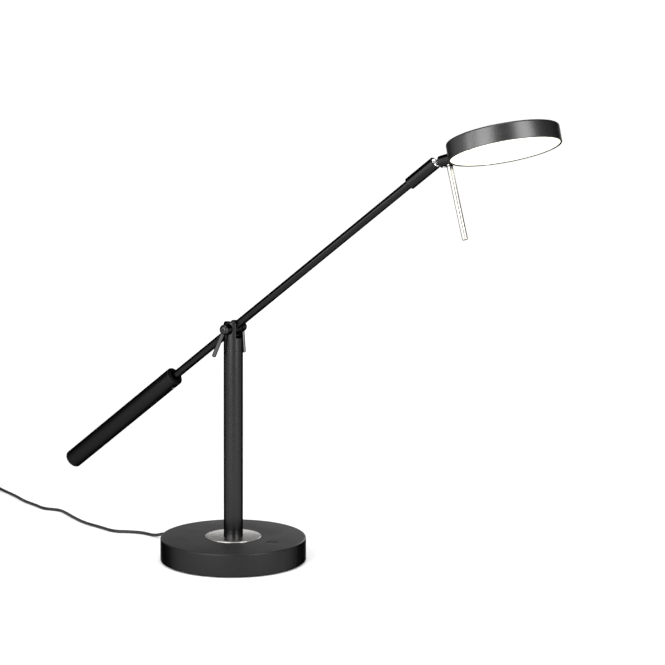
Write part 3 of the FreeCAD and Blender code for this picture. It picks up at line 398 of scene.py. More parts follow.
def lacquer(name, dark, light, roughness, grain, depth, specular):
    material, nodes, links, shader = newFinish(name, dark, roughness, specular=specular)
    cloud = grainNoise(nodes, links, 35, 4)
    links.new(tinted(nodes, links, cloud, dark, light), shader.inputs["Base Color"])
    rough = spread(nodes, links, cloud, roughness - 0.04, roughness + 0.04)
    links.new(rough, shader.inputs["Roughness"])
    peel = grainNoise(nodes, links, grain, 2)
    links.new(raised(nodes, links, peel, 0.25, depth), shader.inputs["Normal"])
    return material


# The edge tone is how much a metal reflects when it is seen along its surface.
def metal(name, dark, light, roughness, grain, depth, stretch=(1, 1, 1), edge=1.0):
    material, nodes, links, shader = newFinish(name, dark, roughness, metallic=1.0)
    shader.inputs["Specular Tint"].default_value = (edge, edge, edge, 1)
    brushed = grainNoise(nodes, links, grain, 3, stretch)
    links.new(tinted(nodes, links, brushed, dark, light), shader.inputs["Base Color"])
    rough = spread(nodes, links, brushed, roughness * 0.7, roughness * 1.3)
    links.new(rough, shader.inputs["Roughness"])
    links.new(raised(nodes, links, brushed, 0.2, depth), shader.inputs["Normal"])
    return material


# The grain is noise cells in a metre, and the depth is its height in metres.
metals = {
    "blackLacquer": {
        "dark": (0.03, 0.03, 0.0305),
        "light": (0.034, 0.034, 0.034),
        "roughness": 0.25, "grain": 1400, "depth": 0.000003, "edge": 0.06,
    },
    # the foot's side: one of two copies of the foot's single black lacquer, tuned for how the light falls on
    # the side (painted shade)
    "footSideCoat": {
        "dark": (0.027, 0.027, 0.0275),
        "light": (0.031, 0.031, 0.031),
        "roughness": 0.34, "grain": 1400, "depth": 0.000015, "edge": 0.15,
    },
    "armLacquer": {
        "dark": (0.017, 0.017, 0.0175),
        "light": (0.02, 0.02, 0.02),
        "roughness": 0.2, "grain": 1400, "depth": 0.00001, "edge": 0.05,
    },
    "weightCoat": {
        "dark": (0.014, 0.014, 0.0145),
        "light": (0.018, 0.018, 0.018),
        "roughness": 0.4, "grain": 1400, "depth": 0.00002, "edge": 0.1,
    },
    "headLacquer": {
        "dark": (0.074, 0.074, 0.076),
        "light": (0.084, 0.084, 0.084),
        "roughness": 0.34, "grain": 1600, "depth": 0.000006, "edge": 0.22,
    },
    "leverMetal": {
        "dark": (0.03, 0.03, 0.031),
        "light": (0.04, 0.04, 0.041),
        "roughness": 0.2, "grain": 900, "depth": 0.000004, "edge": 0.05,
    },
    "leverRodMetal": {
        "dark": (0.075, 0.075, 0.077),
        "light": (0.095, 0.095, 0.097),
        "roughness": 0.2, "grain": 900, "depth": 0.000004, "edge": 0.08,
    },
    "chromeMetal": {
        "dark": (0.78, 0.78, 0.79),
        "light": (0.84, 0.84, 0.85),
        "roughness": 0.08, "grain": 700, "depth": 0.000005,
    },
    "handleMetal": {
        "dark": (0.42, 0.41, 0.375),
        "light": (0.47, 0.46, 0.425),
        "roughness": 0.28, "grain": 900, "depth": 0.000001, "stretch": (1, 1, 0.1), "edge": 0.06,
    },
    "nickelMetal": {
        "dark": (0.55, 0.53, 0.5),
        "light": (0.66, 0.64, 0.61),
        "roughness": 0.32, "grain": 900, "depth": 0.00001,
    },
    "steelMetal": {
        "dark": (0.45, 0.45, 0.46),
        "light": (0.56, 0.56, 0.57),
        "roughness": 0.35, "grain": 900, "depth": 0.00001, "stretch": (1, 1, 0.1),
    },
    "sinkMetal": {
        "dark": (0.6, 0.6, 0.61),
        "light": (0.7, 0.7, 0.71),
        "roughness": 0.4, "grain": 800, "depth": 0.00001,
    },
}
lacquers = {
    # the foot's top: the second, darker copy of the foot's black lacquer, tuned for how the light falls on
    # the top (painted shade)
    "footTopCoat": {
        "dark": (0.008, 0.008, 0.0085),
        "light": (0.011, 0.011, 0.0115),
        "roughness": 0.45, "grain": 1400, "depth": 0.00003, "specular": 0.3,
    },
    "castIron": {
        "dark": (0.05, 0.05, 0.05),
        "light": (0.09, 0.09, 0.09),
        "roughness": 0.7, "grain": 500, "depth": 0.0002, "specular": 0.5,
    },
    "footRubber": {
        "dark": (0.012, 0.012, 0.012),
        "light": (0.02, 0.02, 0.02),
        "roughness": 0.85, "grain": 900, "depth": 0.0001, "specular": 0.3,
    },
    "cordVinyl": {
        "dark": (0.008, 0.008, 0.0085),
        "light": (0.014, 0.014, 0.0145),
        "roughness": 0.45, "grain": 700, "depth": 0.00006, "specular": 0.4,
    },
    "plugVinyl": {
        "dark": (0.01, 0.01, 0.011),
        "light": (0.018, 0.018, 0.019),
        "roughness": 0.5, "grain": 1100, "depth": 0.00005, "specular": 0.45,
    },
    "blackPlastic": {
        "dark": (0.012, 0.012, 0.013),
        "light": (0.02, 0.02, 0.021),
        "roughness": 0.4, "grain": 1300, "depth": 0.00003, "specular": 0.5,
    },
    "bearingPlastic": {
        "dark": (0.62, 0.6, 0.55),
        "light": (0.7, 0.68, 0.63),
        "roughness": 0.5, "grain": 700, "depth": 0.00003, "specular": 0.5,
    },
    "boardWhite": {
        "dark": (0.75, 0.75, 0.75),
        "light": (0.82, 0.82, 0.82),
        "roughness": 0.5, "grain": 900, "depth": 0.00002, "specular": 0.5,
    },
    "ledYellow": {
        "dark": (0.8, 0.62, 0.12),
        "light": (0.85, 0.7, 0.2),
        "roughness": 0.4, "grain": 900, "depth": 0.00002, "specular": 0.5,
    },
    "clipPlastic": {
        "dark": (0.5, 0.48, 0.4),
        "light": (0.56, 0.54, 0.46),
        "roughness": 0.5, "grain": 900, "depth": 0.00002, "specular": 0.5,
    },
}
coats = {name: metal(name, **coat) for name, coat in metals.items()}
coats.update({name: lacquer(name, **coat) for name, coat in lacquers.items()})


# Fine rings turned into a flat disc round the upright axis.
def turnedMetal(name, dark, light, roughness, rings):
    material, nodes, links, shader = newFinish(name, dark, roughness, metallic=1.0)
    place = nodes.new("ShaderNodeTexCoord")
    flat = nodes.new("ShaderNodeMapping")
    flat.inputs["Scale"].default_value = (1, 1, 0)
    reach = nodes.new("ShaderNodeVectorMath")
    reach.operation = "LENGTH"
    links.new(place.outputs["Object"], flat.inputs["Vector"])
    links.new(flat.outputs["Vector"], reach.inputs[0])
    noise = nodes.new("ShaderNodeTexNoise")
    noise.noise_dimensions = "1D"
    noise.inputs["Scale"].default_value = rings
    noise.inputs["Detail"].default_value = 4
    links.new(reach.outputs["Value"], noise.inputs["W"])
    links.new(tinted(nodes, links, noise.outputs["Fac"], dark, light), shader.inputs["Base Color"])
    rough = spread(nodes, links, noise.outputs["Fac"], roughness * 0.8, roughness * 1.25)
    links.new(rough, shader.inputs["Roughness"])
    links.new(raised(nodes, links, noise.outputs["Fac"], 0.3, 0.00001), shader.inputs["Normal"])
    return material


trimMetal = turnedMetal("trimMetal", (0.62, 0.605, 0.58), (0.74, 0.72, 0.69), 0.24, 2600)


# Painted glow: the diffuser gives off light of its own at about white, a little yellower towards the rim.
def litDiffuser(centre, rimStart, rimEnd):
    material, nodes, links, shader = newFinish("litDiffuser", (0.9, 0.89, 0.85), 0.45)
    place = nodes.new("ShaderNodeTexCoord")
    shift = nodes.new("ShaderNodeMapping")
    shift.inputs["Location"].default_value = (-centre[0], -centre[1], -centre[2])
    reach = nodes.new("ShaderNodeVectorMath")
    reach.operation = "LENGTH"
    links.new(place.outputs["Object"], shift.inputs["Vector"])
    links.new(shift.outputs["Vector"], reach.inputs[0])
    rim = nodes.new("ShaderNodeMapRange")
    rim.interpolation_type = "SMOOTHSTEP"
    rim.inputs["From Min"].default_value = rimStart
    rim.inputs["From Max"].default_value = rimEnd
    links.new(reach.outputs["Value"], rim.inputs["Value"])
    warm = tinted(nodes, links, rim.outputs["Result"], (1.0, 0.99, 0.96), (1.0, 0.93, 0.7))
    links.new(warm, shader.inputs["Emission Color"])
    cloud = grainNoise(nodes, links, 60, 3)
    links.new(spread(nodes, links, cloud, 0.4, 0.5), shader.inputs["Roughness"])
    # painted glow: the diffuser's own emission makes it render white
    shader.inputs["Emission Strength"].default_value = 1.15
    return material


# Where the turned pieces' axes lie, as in the construction.
arm = {"pivotHeight": 0.257, "pitch": 37.0, "ballDistance": 0.3104}
head = {
    "neckPitch": 16.35,
    "roll": 7.1,
    "distance": 0.08205,
    "radius": 0.0564,
    "height": 0.0178,
    "wall": 0.0015,
    "topEdge": 0.002,
    "innerEdge": 0.00067,
    "rimEdge": 0.0005,
    "recess": 0.0008,
    "lensThickness": 0.002,
    "lensGap": 0.0003,
    "lensEdge": 0.0004,
    "flatRadius": 0.03,
    # where the diffuser's painted glow turns yellower
    "warmFrom": 0.034,
    "warmTo": 0.055,
}
armTurn = Matrix.Rotation(-math.radians(arm["pitch"]), 4, "Y")
armPlace = Matrix.Translation((0, 0, arm["pivotHeight"])) @ armTurn
ballCentre = armPlace @ Vector((arm["ballDistance"], 0, 0))
neckPitch = Matrix.Rotation(-math.radians(head["neckPitch"]), 4, "Y")
neckRoll = Matrix.Rotation(-math.radians(head["roll"]), 4, "X")
neckPlace = Matrix.Translation(ballCentre) @ neckPitch @ neckRoll
headPlace = neckPlace @ Matrix.Translation((head["distance"], 0, 0))
alongX = Matrix.Rotation(math.radians(90), 4, "Y")

diffuserPaintedGlow = litDiffuser(headPlace @ Vector((0, 0, -head["height"] / 2)), head["warmFrom"], head["warmTo"])

finishes = {
    "black_lacquer": coats["blackLacquer"],
    "head_black": coats["headLacquer"],
    "lever_black": coats["leverMetal"],
    "nickel": coats["nickelMetal"],
    "chrome": coats["chromeMetal"],
    "steel": coats["steelMetal"],
    "iron": coats["castIron"],
    "foot_rubber": coats["footRubber"],
    "cord_black": coats["cordVinyl"],
    "plug_black": coats["plugVinyl"],
    "pin_metal": coats["chromeMetal"],
    "black_plastic": coats["blackPlastic"],
    "bearing_plastic": coats["bearingPlastic"],
    "aluminium": coats["sinkMetal"],
    "board_white": coats["boardWhite"],
    "led_yellow": coats["ledYellow"],
    "diffuser": diffuserPaintedGlow,
    "clip_white": coats["clipPlastic"],
}


ownFinishes = {
    "lever_rod_front": coats["leverRodMetal"],
    "lever_rod_rear": coats["leverRodMetal"],
    "arm_tube": coats["armLacquer"],
    "arm_rod": coats["armLacquer"],
    "socket_sleeve": coats["armLacquer"],
    "neck": coats["armLacquer"],
    "counterweight": coats["weightCoat"],
    "counterweight_collar": coats["weightCoat"],
    "counterweight_end_cap": coats["weightCoat"],
}


def finishNodes():
    for row in frame["record"]["subparts"]:
        node = frame["nodes"][row["node"]]
        finish = ownFinishes.get(row["node"], finishes[row["material_slot"]])
        node.data.materials.clear()
        node.data.materials.append(finish)


finishNodes()
powerCord.data.materials.append(coats["cordVinyl"])
print("finishes given")


turning = {"sides": 96, "merge": 0.000002, "smoothAngle": 32.0, "core": 0.001}


# The core is the radius of the small flat that closes most turned pieces.
# A piece turned round an axis, drawn out ring by ring through its (along, radius) stations.
# A ring piece ends at the station where it began.
def turnPiece(name, stations, place, sides=turning["sides"]):
    clearSelection()
    along, radius = stations[0]
    closed = stations[0] == stations[-1]
    fill = "NOTHING" if closed else "NGON"
    bpy.ops.mesh.primitive_circle_add(vertices=sides, radius=radius, fill_type=fill, location=(0, 0, along))
    piece = bpy.context.object
    piece.name = name
    bpy.ops.object.transform_apply(location=True, rotation=True, scale=True)
    bpy.ops.object.mode_set(mode="EDIT")
    bpy.ops.mesh.select_all(action="SELECT")
    if not closed:
        bpy.ops.mesh.region_to_loop()
    for nextAlong, nextRadius in stations[1:]:
        move = {"value": (0, 0, nextAlong - along)}
        bpy.ops.mesh.extrude_edges_move(TRANSFORM_OT_translate=move)
        if nextRadius != radius:
            bpy.ops.transform.resize(value=(nextRadius / radius, nextRadius / radius, 1))
        along, radius = nextAlong, nextRadius
    if not closed:
        bpy.ops.mesh.edge_face_add()
    bpy.ops.mesh.select_all(action="SELECT")
    bpy.ops.mesh.remove_doubles(threshold=turning["merge"])
    bpy.ops.mesh.normals_make_consistent(inside=False)
    bpy.ops.object.mode_set(mode="OBJECT")
    settle(piece, place)
    return piece


def selectOnly(piece):
    clearSelection()
    piece.select_set(True)
    bpy.context.view_layer.objects.active = piece


def smooth(piece):
    selectOnly(piece)
    bpy.ops.object.shade_smooth_by_angle(angle=math.radians(turning["smoothAngle"]))


# Puts a piece in its place and writes the place into its mesh.
def settle(piece, place):
    piece.matrix_world = place
    selectOnly(piece)
    bpy.ops.object.transform_apply(location=True, rotation=True, scale=True)
    smooth(piece)


# Stations of a quarter round between two faces, from its start angle to its end angle.
def rounding(along, radius, size, start, end, steps=4):
    stations = []
    for step in range(steps + 1):
        angle = math.radians(start + (end - start) * step / steps)
        stations.append((along + size * math.sin(angle), radius + size * math.cos(angle)))
    return stations


# Gives a piece its finish and its body, and hides the construction's nodes that it stands for.
def fit(piece, body, slot, finish, *nodes):
    piece.data.materials.clear()
    piece.data.materials.append(finish)
    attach(piece, body)
    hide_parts(*nodes)


# Cuts the second piece's shape out of the first, and removes the second.
def cut(piece, cutter):
    hole = piece.modifiers.new("hole", "BOOLEAN")
    hole.object = cutter
    hole.operation = "DIFFERENCE"
    hole.solver = "EXACT"
    selectOnly(piece)
    bpy.ops.object.modifier_apply(modifier=hole.name)
    bpy.data.objects.remove(cutter)


foot = {
    "radius": 0.080,
    "bore": 0.0774,
    "lift": 0.0012,
    "height": 0.026,
    "ceiling": 0.023,
    "edge": 0.0016,
    "lowerEdge": 0.0004,
    "seatEdge": 0.0002,
    "seatRadius": 0.03056,
    "seatTop": 0.0252,
    "stemHole": 0.00506,
    "buttonSpot": (0.052, 0.0),
    "buttonHole": 0.00666,
    "cordHeight": 0.0085,
    "cordAngle": 168.0,
    "cordHole": 0.00276,
    "topFacing": 0.6,
}


def makeFoot():
    stations = [(foot["lift"], foot["bore"]), (foot["lift"], foot["radius"] - foot["lowerEdge"])]
    stations.append((foot["lift"] + foot["lowerEdge"], foot["radius"]))
    stations += rounding(foot["height"] - foot["edge"], foot["radius"] - foot["edge"], foot["edge"], 0, 90, 6)
    stations.append((foot["height"], foot["seatRadius"] + foot["seatEdge"]))
    stations.append((foot["height"] - foot["seatEdge"], foot["seatRadius"]))
    stations.append((foot["seatTop"], foot["seatRadius"]))
    stations.append((foot["seatTop"], foot["stemHole"]))
    stations.append((foot["ceiling"], foot["stemHole"]))
    stations.append((foot["ceiling"], foot["bore"]))
    stations.append(stations[0])
    shell = turnPiece("footShell", stations, Matrix.Identity(4), 192)
    clearSelection()
    bpy.ops.mesh.primitive_cylinder_add(
        vertices=64, radius=foot["buttonHole"], depth=0.01, location=(*foot["buttonSpot"], foot["height"])
    )
    cut(shell, bpy.context.object)
    turn = math.radians(foot["cordAngle"])
    out = (foot["radius"] * math.cos(turn), foot["radius"] * math.sin(turn), foot["cordHeight"])
    clearSelection()
    bpy.ops.mesh.primitive_cylinder_add(
        vertices=48, radius=foot["cordHole"], depth=0.012, location=out, rotation=(0, math.radians(90), turn)
    )
    cut(shell, bpy.context.object)
    fit(shell, "base", "black_lacquer", coats["footSideCoat"], "base_shell")
    # The one black lacquer shell gets a darker copy on its upward faces: painted shade for how the light
    # falls on the top.
    shell.data.materials.append(coats["footTopCoat"])
    for face in shell.data.polygons:
        if face.normal.z > foot["topFacing"] and face.center.z > foot["seatTop"]:
            face.material_index = 1
    smooth(shell)


trimPlate = {"bore": 0.00506, "radius": 0.0305, "low": 0.0252, "top": 0.0268, "edge": 0.00035}


def makeTrim():
    size = trimPlate["edge"]
    stations = [(trimPlate["low"], trimPlate["bore"]), (trimPlate["low"], trimPlate["radius"])]
    stations += rounding(trimPlate["top"] - size, trimPlate["radius"] - size, size, 0, 90)
    stations.append((trimPlate["top"], trimPlate["bore"]))
    stations.append(stations[0])
    plate = turnPiece("trimPlate", stations, Matrix.Identity(4), 160)
    fit(plate, "base", "nickel", trimMetal, "trim_disc")


button = {
    "spot": (0.052, 0.0),
    "top": 0.0252,
    "radius": 0.005,
    "edge": 0.0005,
    "grooveRadius": 0.0037,
    "grooveWidth": 0.0003,
    "grooveDepth": 0.00025,
    "dish": 0.0005,
    "stemRadius": 0.0022,
    "stemLow": 0.0175,
    "capLow": 0.0222,
}
bezel = {
    "radius": 0.0066,
    "bore": 0.0053,
    "low": 0.016,
    "shelf": 0.0202,
    "top": 0.0256,
    "stemBore": 0.0025,
    "edge": 0.00025,
}


def makeSwitch():
    place = Matrix.Translation((*button["spot"], 0))
    stations = [(button["stemLow"], button["stemRadius"]), (button["capLow"], button["stemRadius"])]
    stations.append((button["capLow"], button["radius"]))
    edge = button["edge"]
    stations += rounding(button["top"] - edge, button["radius"] - edge, edge, 0, 90)
    ring, wide, deep = button["grooveRadius"], button["grooveWidth"], button["grooveDepth"]
    for rise, radius in ((0, ring + wide), (-deep, ring), (-deep / 2, ring - wide)):
        stations.append((button["top"] + rise, radius))
    # a shallow dish for the fingertip
    for share in (0.8, 0.6, 0.4, 0.2):
        fall = button["dish"] * (1 - share ** 2)
        stations.append((button["top"] - deep / 2 - fall, (ring - wide) * share))
    cap = turnPiece("switchCap", stations, place, 64)
    fit(cap, "button", "black_plastic", coats["blackPlastic"], "switch_button")
    size = bezel["edge"]
    stations = [(bezel["low"], bezel["stemBore"]), (bezel["low"], bezel["radius"])]
    stations += rounding(bezel["top"] - size, bezel["radius"] - size, size, 0, 90, 3)
    stations += rounding(bezel["top"] - size, bezel["bore"] + size, size, 90, 180, 3)
    stations.append((bezel["shelf"], bezel["bore"]))
    stations.append((bezel["shelf"], bezel["stemBore"]))
    stations.append(stations[0])
    ringPiece = turnPiece("switchRing", stations, place, 64)
    fit(ringPiece, "base", "black_plastic", coats["blackPlastic"], "switch_bezel")


def makeHead():
    half = head["height"] / 2
    outer, bore = head["radius"], head["radius"] - head["wall"]
    ceiling = half - head["wall"]
    stations = [(ceiling, head["flatRadius"])]
    stations += rounding(ceiling - head["innerEdge"], bore - head["innerEdge"], head["innerEdge"], 90, 0, 3)
    stations += [(head["rimEdge"] / 4 - half, bore), (-half, bore + head["rimEdge"] / 4)]
    stations += [(-half, outer - head["rimEdge"]), (head["rimEdge"] - half, outer)]
    stations += rounding(half - head["topEdge"], outer - head["topEdge"], head["topEdge"], 0, 90, 6)
    stations.append((half, head["flatRadius"]))
    shell = turnPiece("headShell", stations, headPlace, 192)
    fit(shell, "head", "head_black", coats["headLacquer"], "head_shell")
    low, edge = head["recess"] - half, head["lensEdge"]
    radius = bore - head["lensGap"]
    stations = [(low + head["lensThickness"], reach) for reach in (head["flatRadius"], radius)]
    stations += rounding(low + edge, radius - edge, edge, 0, -90, 3)
    stations.append((low, head["flatRadius"]))
    lens = turnPiece("diffuserLens", stations, headPlace, 160)
    fit(lens, "head", "diffuser", diffuserPaintedGlow, "diffuser")


handle = {"at": 0.0172, "lean": 2.4, "radius": 0.003, "low": -0.083, "top": 0.0015, "edge": 0.0006}


def makeHandle():
    lean = Matrix.Rotation(-math.radians(handle["lean"]), 4, "Y")
    place = neckPlace @ Matrix.Translation((handle["at"], 0, 0)) @ lean
    size = handle["edge"]
    stations = [(handle["low"], turning["core"])]
    stations += rounding(handle["low"] + size, handle["radius"] - size, size, -90, 0)
    stations += [(handle["top"], handle["radius"]), (handle["top"], turning["core"])]
    rod = turnPiece("handleRod", stations, place, 64)
    fit(rod, "head", "nickel", coats["handleMetal"], "handle_rod")


weight = {
    "near": -0.0999,
    "far": -0.2864,
    "radius": 0.0105,
    "nearEdge": 0.00095,
    "farEdge": 0.0019,
    "bore": 0.00456,
    "nearCup": 0.0084,
    "farCup": 0.00816,
    "cupDepth": 0.0024,
    "cupEdge": 0.0003,
    "screwAt": -0.1095,
    "screwHole": 0.00226,
}


def makeWeight():
    near, far, radius = weight["near"], weight["far"], weight["radius"]
    soft = weight["cupEdge"]
    stations = [(near - weight["cupDepth"], weight["bore"]), (near - weight["cupDepth"], weight["nearCup"])]
    stations += [(near - soft, weight["nearCup"]), (near, weight["nearCup"] + soft)]
    edge = weight["nearEdge"]
    stations += rounding(near - edge, radius - edge, edge, 90, 0, 5)
    edge = weight["farEdge"]
    stations += rounding(far + edge, radius - edge, edge, 0, -90, 6)
    stations += [(far, weight["farCup"] + soft), (far + soft, weight["farCup"])]
    stations += [(far + weight["cupDepth"], weight["farCup"]), (far + weight["cupDepth"], weight["bore"])]
    stations.append(stations[0])
    barrel = turnPiece("weightBarrel", stations, armPlace @ alongX, 128)
    clearSelection()
    bpy.ops.mesh.primitive_cylinder_add(vertices=48, radius=weight["screwHole"], depth=0.012)
    drill = bpy.context.object
    drill.matrix_world = armPlace @ Matrix.Translation((weight["screwAt"], 0, -radius))
    cut(barrel, drill)
    fit(barrel, "arm", "black_lacquer", coats["weightCoat"], "counterweight")


# Screws with a six-sided socket in the outer end. The axis runs outward.
def socketScrew(name, stations, place, socketRadius, socketDepth):
    screw = turnPiece(name, stations, Matrix.Identity(4), 48)
    end = stations[-1][0]
    clearSelection()
    bpy.ops.mesh.primitive_cylinder_add(
        vertices=6, radius=socketRadius, depth=2 * socketDepth, location=(0, 0, end)
    )
    cut(screw, bpy.context.object)
    settle(screw, place)
    return screw


screws = {
    "weight": {
        "node": "counterweight_grub_screw",
        "body": "arm",
        "at": weight["screwAt"],
        "low": 0.0045,
        "top": 0.0102,
        "radius": 0.0022,
        "start": 0.001,
        "edge": 0.0003,
        "socket": 0.0013,
        "deep": 0.0018,
    },
    "neck": {
        "node": "neck_grub_screw",
        "body": "head",
        "at": 0.0114,
        "low": 0.00276,
        "top": 0.0068,
        "radius": 0.0015,
        "start": 0.0008,
        "edge": 0.00035,
        "socket": 0.0009,
        "deep": 0.0012,
    },
    "plate": {
        "circle": 0.064,
        "angles": (90, 210, 330),
        "low": -0.0115,
        "head": -0.0045,
        "top": -0.002,
        "radius": 0.002,
        "start": 0.001,
        "headRadius": 0.0038,
        "edge": 0.0005,
        "socket": 0.0018,
        "deep": 0.0014,
    },
}
facingDown = Matrix.Rotation(math.radians(180), 4, "X")


def makeGrubScrew(name, size, frameOfBody):
    edge = size["edge"]
    stations = [(size["low"], size["start"]), (size["low"], size["radius"])]
    stations += rounding(size["top"] - edge, size["radius"] - edge, edge, 0, 90, 2)
    place = frameOfBody @ Matrix.Translation((size["at"], 0, 0)) @ facingDown
    screw = socketScrew(name, stations, place, size["socket"], size["deep"])
    fit(screw, size["body"], "steel", coats["steelMetal"], size["node"])


def makePlateScrews():
    size = screws["plate"]
    edge = size["edge"]
    stations = [(size["low"], size["start"]), (size["low"], size["radius"])]
    stations += [(size["head"], size["radius"]), (size["head"], size["headRadius"])]
    stations += rounding(size["top"] - edge, size["headRadius"] - edge, edge, 0, 90, 3)
    first = socketScrew("plateScrews", stations, facingDown, size["socket"], size["deep"])
    copies = []
    for angle in size["angles"]:
        other = first.copy()
        other.data = first.data.copy()
        bpy.context.scene.collection.objects.link(other)
        turn = math.radians(angle)
        spot = (size["circle"] * math.cos(turn), size["circle"] * math.sin(turn), 0)
        other.matrix_world = Matrix.Translation(spot)
        copies.append(other)
    bpy.data.objects.remove(first)
    joined = joinPieces(copies, "plateScrews")
    fit(joined, "base", "steel", coats["steelMetal"], "plate_screws")


def makeScrews():
    makeGrubScrew("weightScrew", screws["weight"], armPlace)
    makeGrubScrew("neckScrew", screws["neck"], neckPlace)
    makePlateScrews()


def joinPieces(pieces, name):
    clearSelection()
    for piece in pieces:
        piece.select_set(True)
    bpy.context.view_layer.objects.active = pieces[0]
    bpy.ops.object.join()
    joined = bpy.context.object
    joined.name = name
    settle(joined, joined.matrix_world.copy())
    return joined


gland = {
    "angle": 168.0,
    "height": 0.0085,
    "flange": (0.0751, 0.0771, 0.004),
    "waist": 0.0027,
    "root": (0.0801, 0.082, 0.0046),
    "tip": (0.104, 0.0027),
    "ribs": 6,
    "ribStart": 0.0838,
    "ribPitch": 0.0031,
    "grooveWidth": 0.0014,
    "grooveDepth": 0.0007,
    "edge": 0.0003,
    "tipEdge": 0.0004,
    "innerCore": 0.002,
}


def taper(along, start, end):
    share = (along - start[0]) / (end[0] - start[0])
    return start[1] + (end[1] - start[1]) * share


# Stations of a tapering sleeve with grooves moulded round it.
def ribbed(start, end, ribs):
    stations = [start]
    width, depth = ribs["grooveWidth"], ribs["grooveDepth"]
    for number in range(ribs["ribs"]):
        along = ribs["ribStart"] + ribs["ribPitch"] * number
        fall = min(depth, taper(along, start, end) - end[1] + depth * 0.3)
        stations.append((along, taper(along, start, end)))
        stations.append((along + width * 0.2, taper(along, start, end) - fall))
        stations.append((along + width * 0.8, taper(along + width, start, end) - fall))
        stations.append((along + width, taper(along + width, start, end)))
    stations.append(end)
    return stations


def makeGland():
    inner, outer, wide = gland["flange"]
    begin, shoulder, root = gland["root"]
    turn = Matrix.Rotation(math.radians(gland["angle"]), 4, "Z")
    place = Matrix.Translation((0, 0, gland["height"])) @ turn @ alongX
    edge = gland["edge"]
    stations = [(inner, gland["innerCore"]), (inner, wide), (outer, wide)]
    stations += [(outer, gland["waist"]), (begin, gland["waist"])]
    stations += [(begin, root - edge), (begin + edge, root)]
    tipAlong, tipRadius = gland["tip"]
    ends = (shoulder, root), (tipAlong - gland["tipEdge"], tipRadius)
    stations += ribbed(*ends, gland)
    stations += [(tipAlong, tipRadius - edge), (tipAlong, turning["core"])]
    boot = turnPiece("cordGland", stations, place, 64)
    fit(boot, "base", "cord_black", coats["cordVinyl"], "cord_gland")


plugSizes = {
    "relief": 0.020,
    "length": 0.034,
    "width": 0.025,
    "thickness": 0.0116,
    "nose": 0.013,
    "round": 0.0023,
    "reliefStart": 0.0027,
    "reliefEnd": (0.0229, 0.0048),
    "grip": 0.0026,
    "gripDepth": 0.0005,
    "pinRadius": 0.002,
    "pinLength": 0.019,
    "pinSleeve": 0.0095,
    "pinSpacing": 0.0186,
    "pinStep": 0.0001,
    "pinTip": 0.0012,
    "pinRounding": 0.0011,
    "edge": 0.0003,
    "ribs": 6,
    "ribStart": 0.0022,
    "ribPitch": 0.003,
    "grooveWidth": 0.0013,
    "grooveDepth": 0.0006,
    "near": 0.0001,
}


# Selects the corners, edges or faces that pass a test.
def pick(body, kind, test):
    mesh = bmesh.from_edit_mesh(body.data)
    bpy.ops.mesh.select_all(action="DESELECT")
    modes = {"verts": "VERT", "edges": "EDGE", "faces": "FACE"}
    bpy.ops.mesh.select_mode(type=modes[kind])
    for element in getattr(mesh, kind):
        if test(element):
            element.select_set(True)
    mesh.select_flush_mode()
    bmesh.update_edit_mesh(body.data)


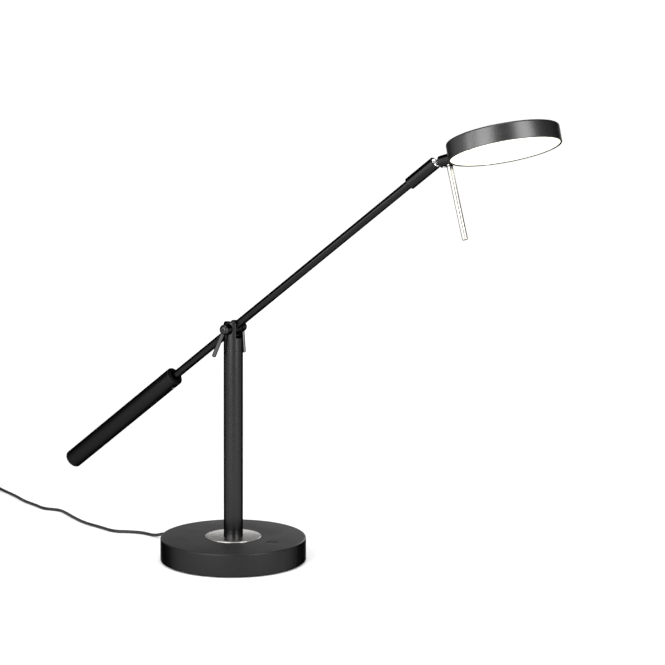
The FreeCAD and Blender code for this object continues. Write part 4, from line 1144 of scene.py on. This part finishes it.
def makePlugBody():
    start, length = plugSizes["relief"], plugSizes["length"]
    shoulder = start + length - plugSizes["nose"]
    near = plugSizes["near"]

    def atBack(vert):
        return vert.co.x < start + near

    def toRound(edge):
        behindNose = min(vert.co.x for vert in edge.verts) < start + length - near
        level = all(abs(vert.co.x - shoulder) < near for vert in edge.verts)
        acrossFlat = level and abs(edge.verts[0].co.y - edge.verts[1].co.y) > 10 * near
        return behindNose and not acrossFlat

    def onGrip(face):
        return abs(face.normal.z) > 0.99 and face.calc_center_median().x < shoulder

    clearSelection()
    scale = (length, plugSizes["width"], plugSizes["thickness"])
    bpy.ops.mesh.primitive_cube_add(size=1, location=(start + length / 2, 0, 0), scale=scale)
    body = bpy.context.object
    bpy.ops.object.transform_apply(location=True, rotation=True, scale=True)
    bpy.ops.object.mode_set(mode="EDIT")
    bpy.ops.mesh.select_all(action="SELECT")
    bpy.ops.mesh.bisect(plane_co=(shoulder, 0, 0), plane_no=(1, 0, 0))
    pick(body, "verts", atBack)
    bpy.ops.transform.resize(value=(1, 0.5, 1))
    pick(body, "edges", toRound)
    bpy.ops.mesh.bevel(offset=plugSizes["round"], segments=5, affect="EDGES")
    pick(body, "faces", onGrip)  # a grip panel sunk into the broad faces
    bpy.ops.mesh.inset(thickness=plugSizes["grip"], depth=0)
    bpy.ops.mesh.inset(thickness=plugSizes["gripDepth"], depth=-plugSizes["gripDepth"])
    bpy.ops.object.mode_set(mode="OBJECT")
    settle(body, plugPlace)
    edge, reliefStart, reliefEnd = plugSizes["edge"], plugSizes["reliefStart"], plugSizes["reliefEnd"]
    stations = [(0, turning["core"]), (0, reliefStart - edge)]
    stations += ribbed((edge, reliefStart), reliefEnd, plugSizes)
    stations.append((reliefEnd[0], turning["core"]))
    sleeve = turnPiece("plugRelief", stations, plugPlace @ alongX, 48)
    joined = joinPieces([body, sleeve], "plugBody")
    fit(joined, "base", "plug_black", coats["plugVinyl"], "plug_body")


# Round pins, with an insulating sleeve on the half next to the plug.
def makePlugPins():
    front, radius = plugSizes["relief"] + plugSizes["length"], plugSizes["pinRadius"]
    sleeveEnd = front + plugSizes["pinSleeve"]
    end = front + plugSizes["pinLength"]
    step, tip, tipSize = plugSizes["pinStep"], plugSizes["pinTip"], plugSizes["pinRounding"]
    stations = [(front, turning["core"]), (front, radius), (sleeveEnd, radius)]
    stations.append((sleeveEnd + step, radius - step))
    stations += rounding(end - tip, radius - tip, tipSize, 0, 90)
    pins = []
    for side in (-1, 1):
        shift = Matrix.Translation((0, side * plugSizes["pinSpacing"] / 2, 0))
        pins.append(turnPiece("plugPins", stations, plugPlace @ shift @ alongX, 48))
    pinPair = joinPieces(pins, "plugPins")
    fit(pinPair, "base", "pin_metal", coats["chromeMetal"], "plug_pins")
    pinPair.data.materials.append(coats["blackPlastic"])
    into = plugPlace.inverted()
    for face in pinPair.data.polygons:
        if (into @ face.center).x < sleeveEnd:
            face.material_index = 1


makeFoot()
makeTrim()
makeSwitch()
print("foot pieces made")
makeHead()
makeHandle()
makeWeight()
makeScrews()
print("head, weight and screws made")
makeGland()
makePlugBody()
makePlugPins()
print("gland and plug made")
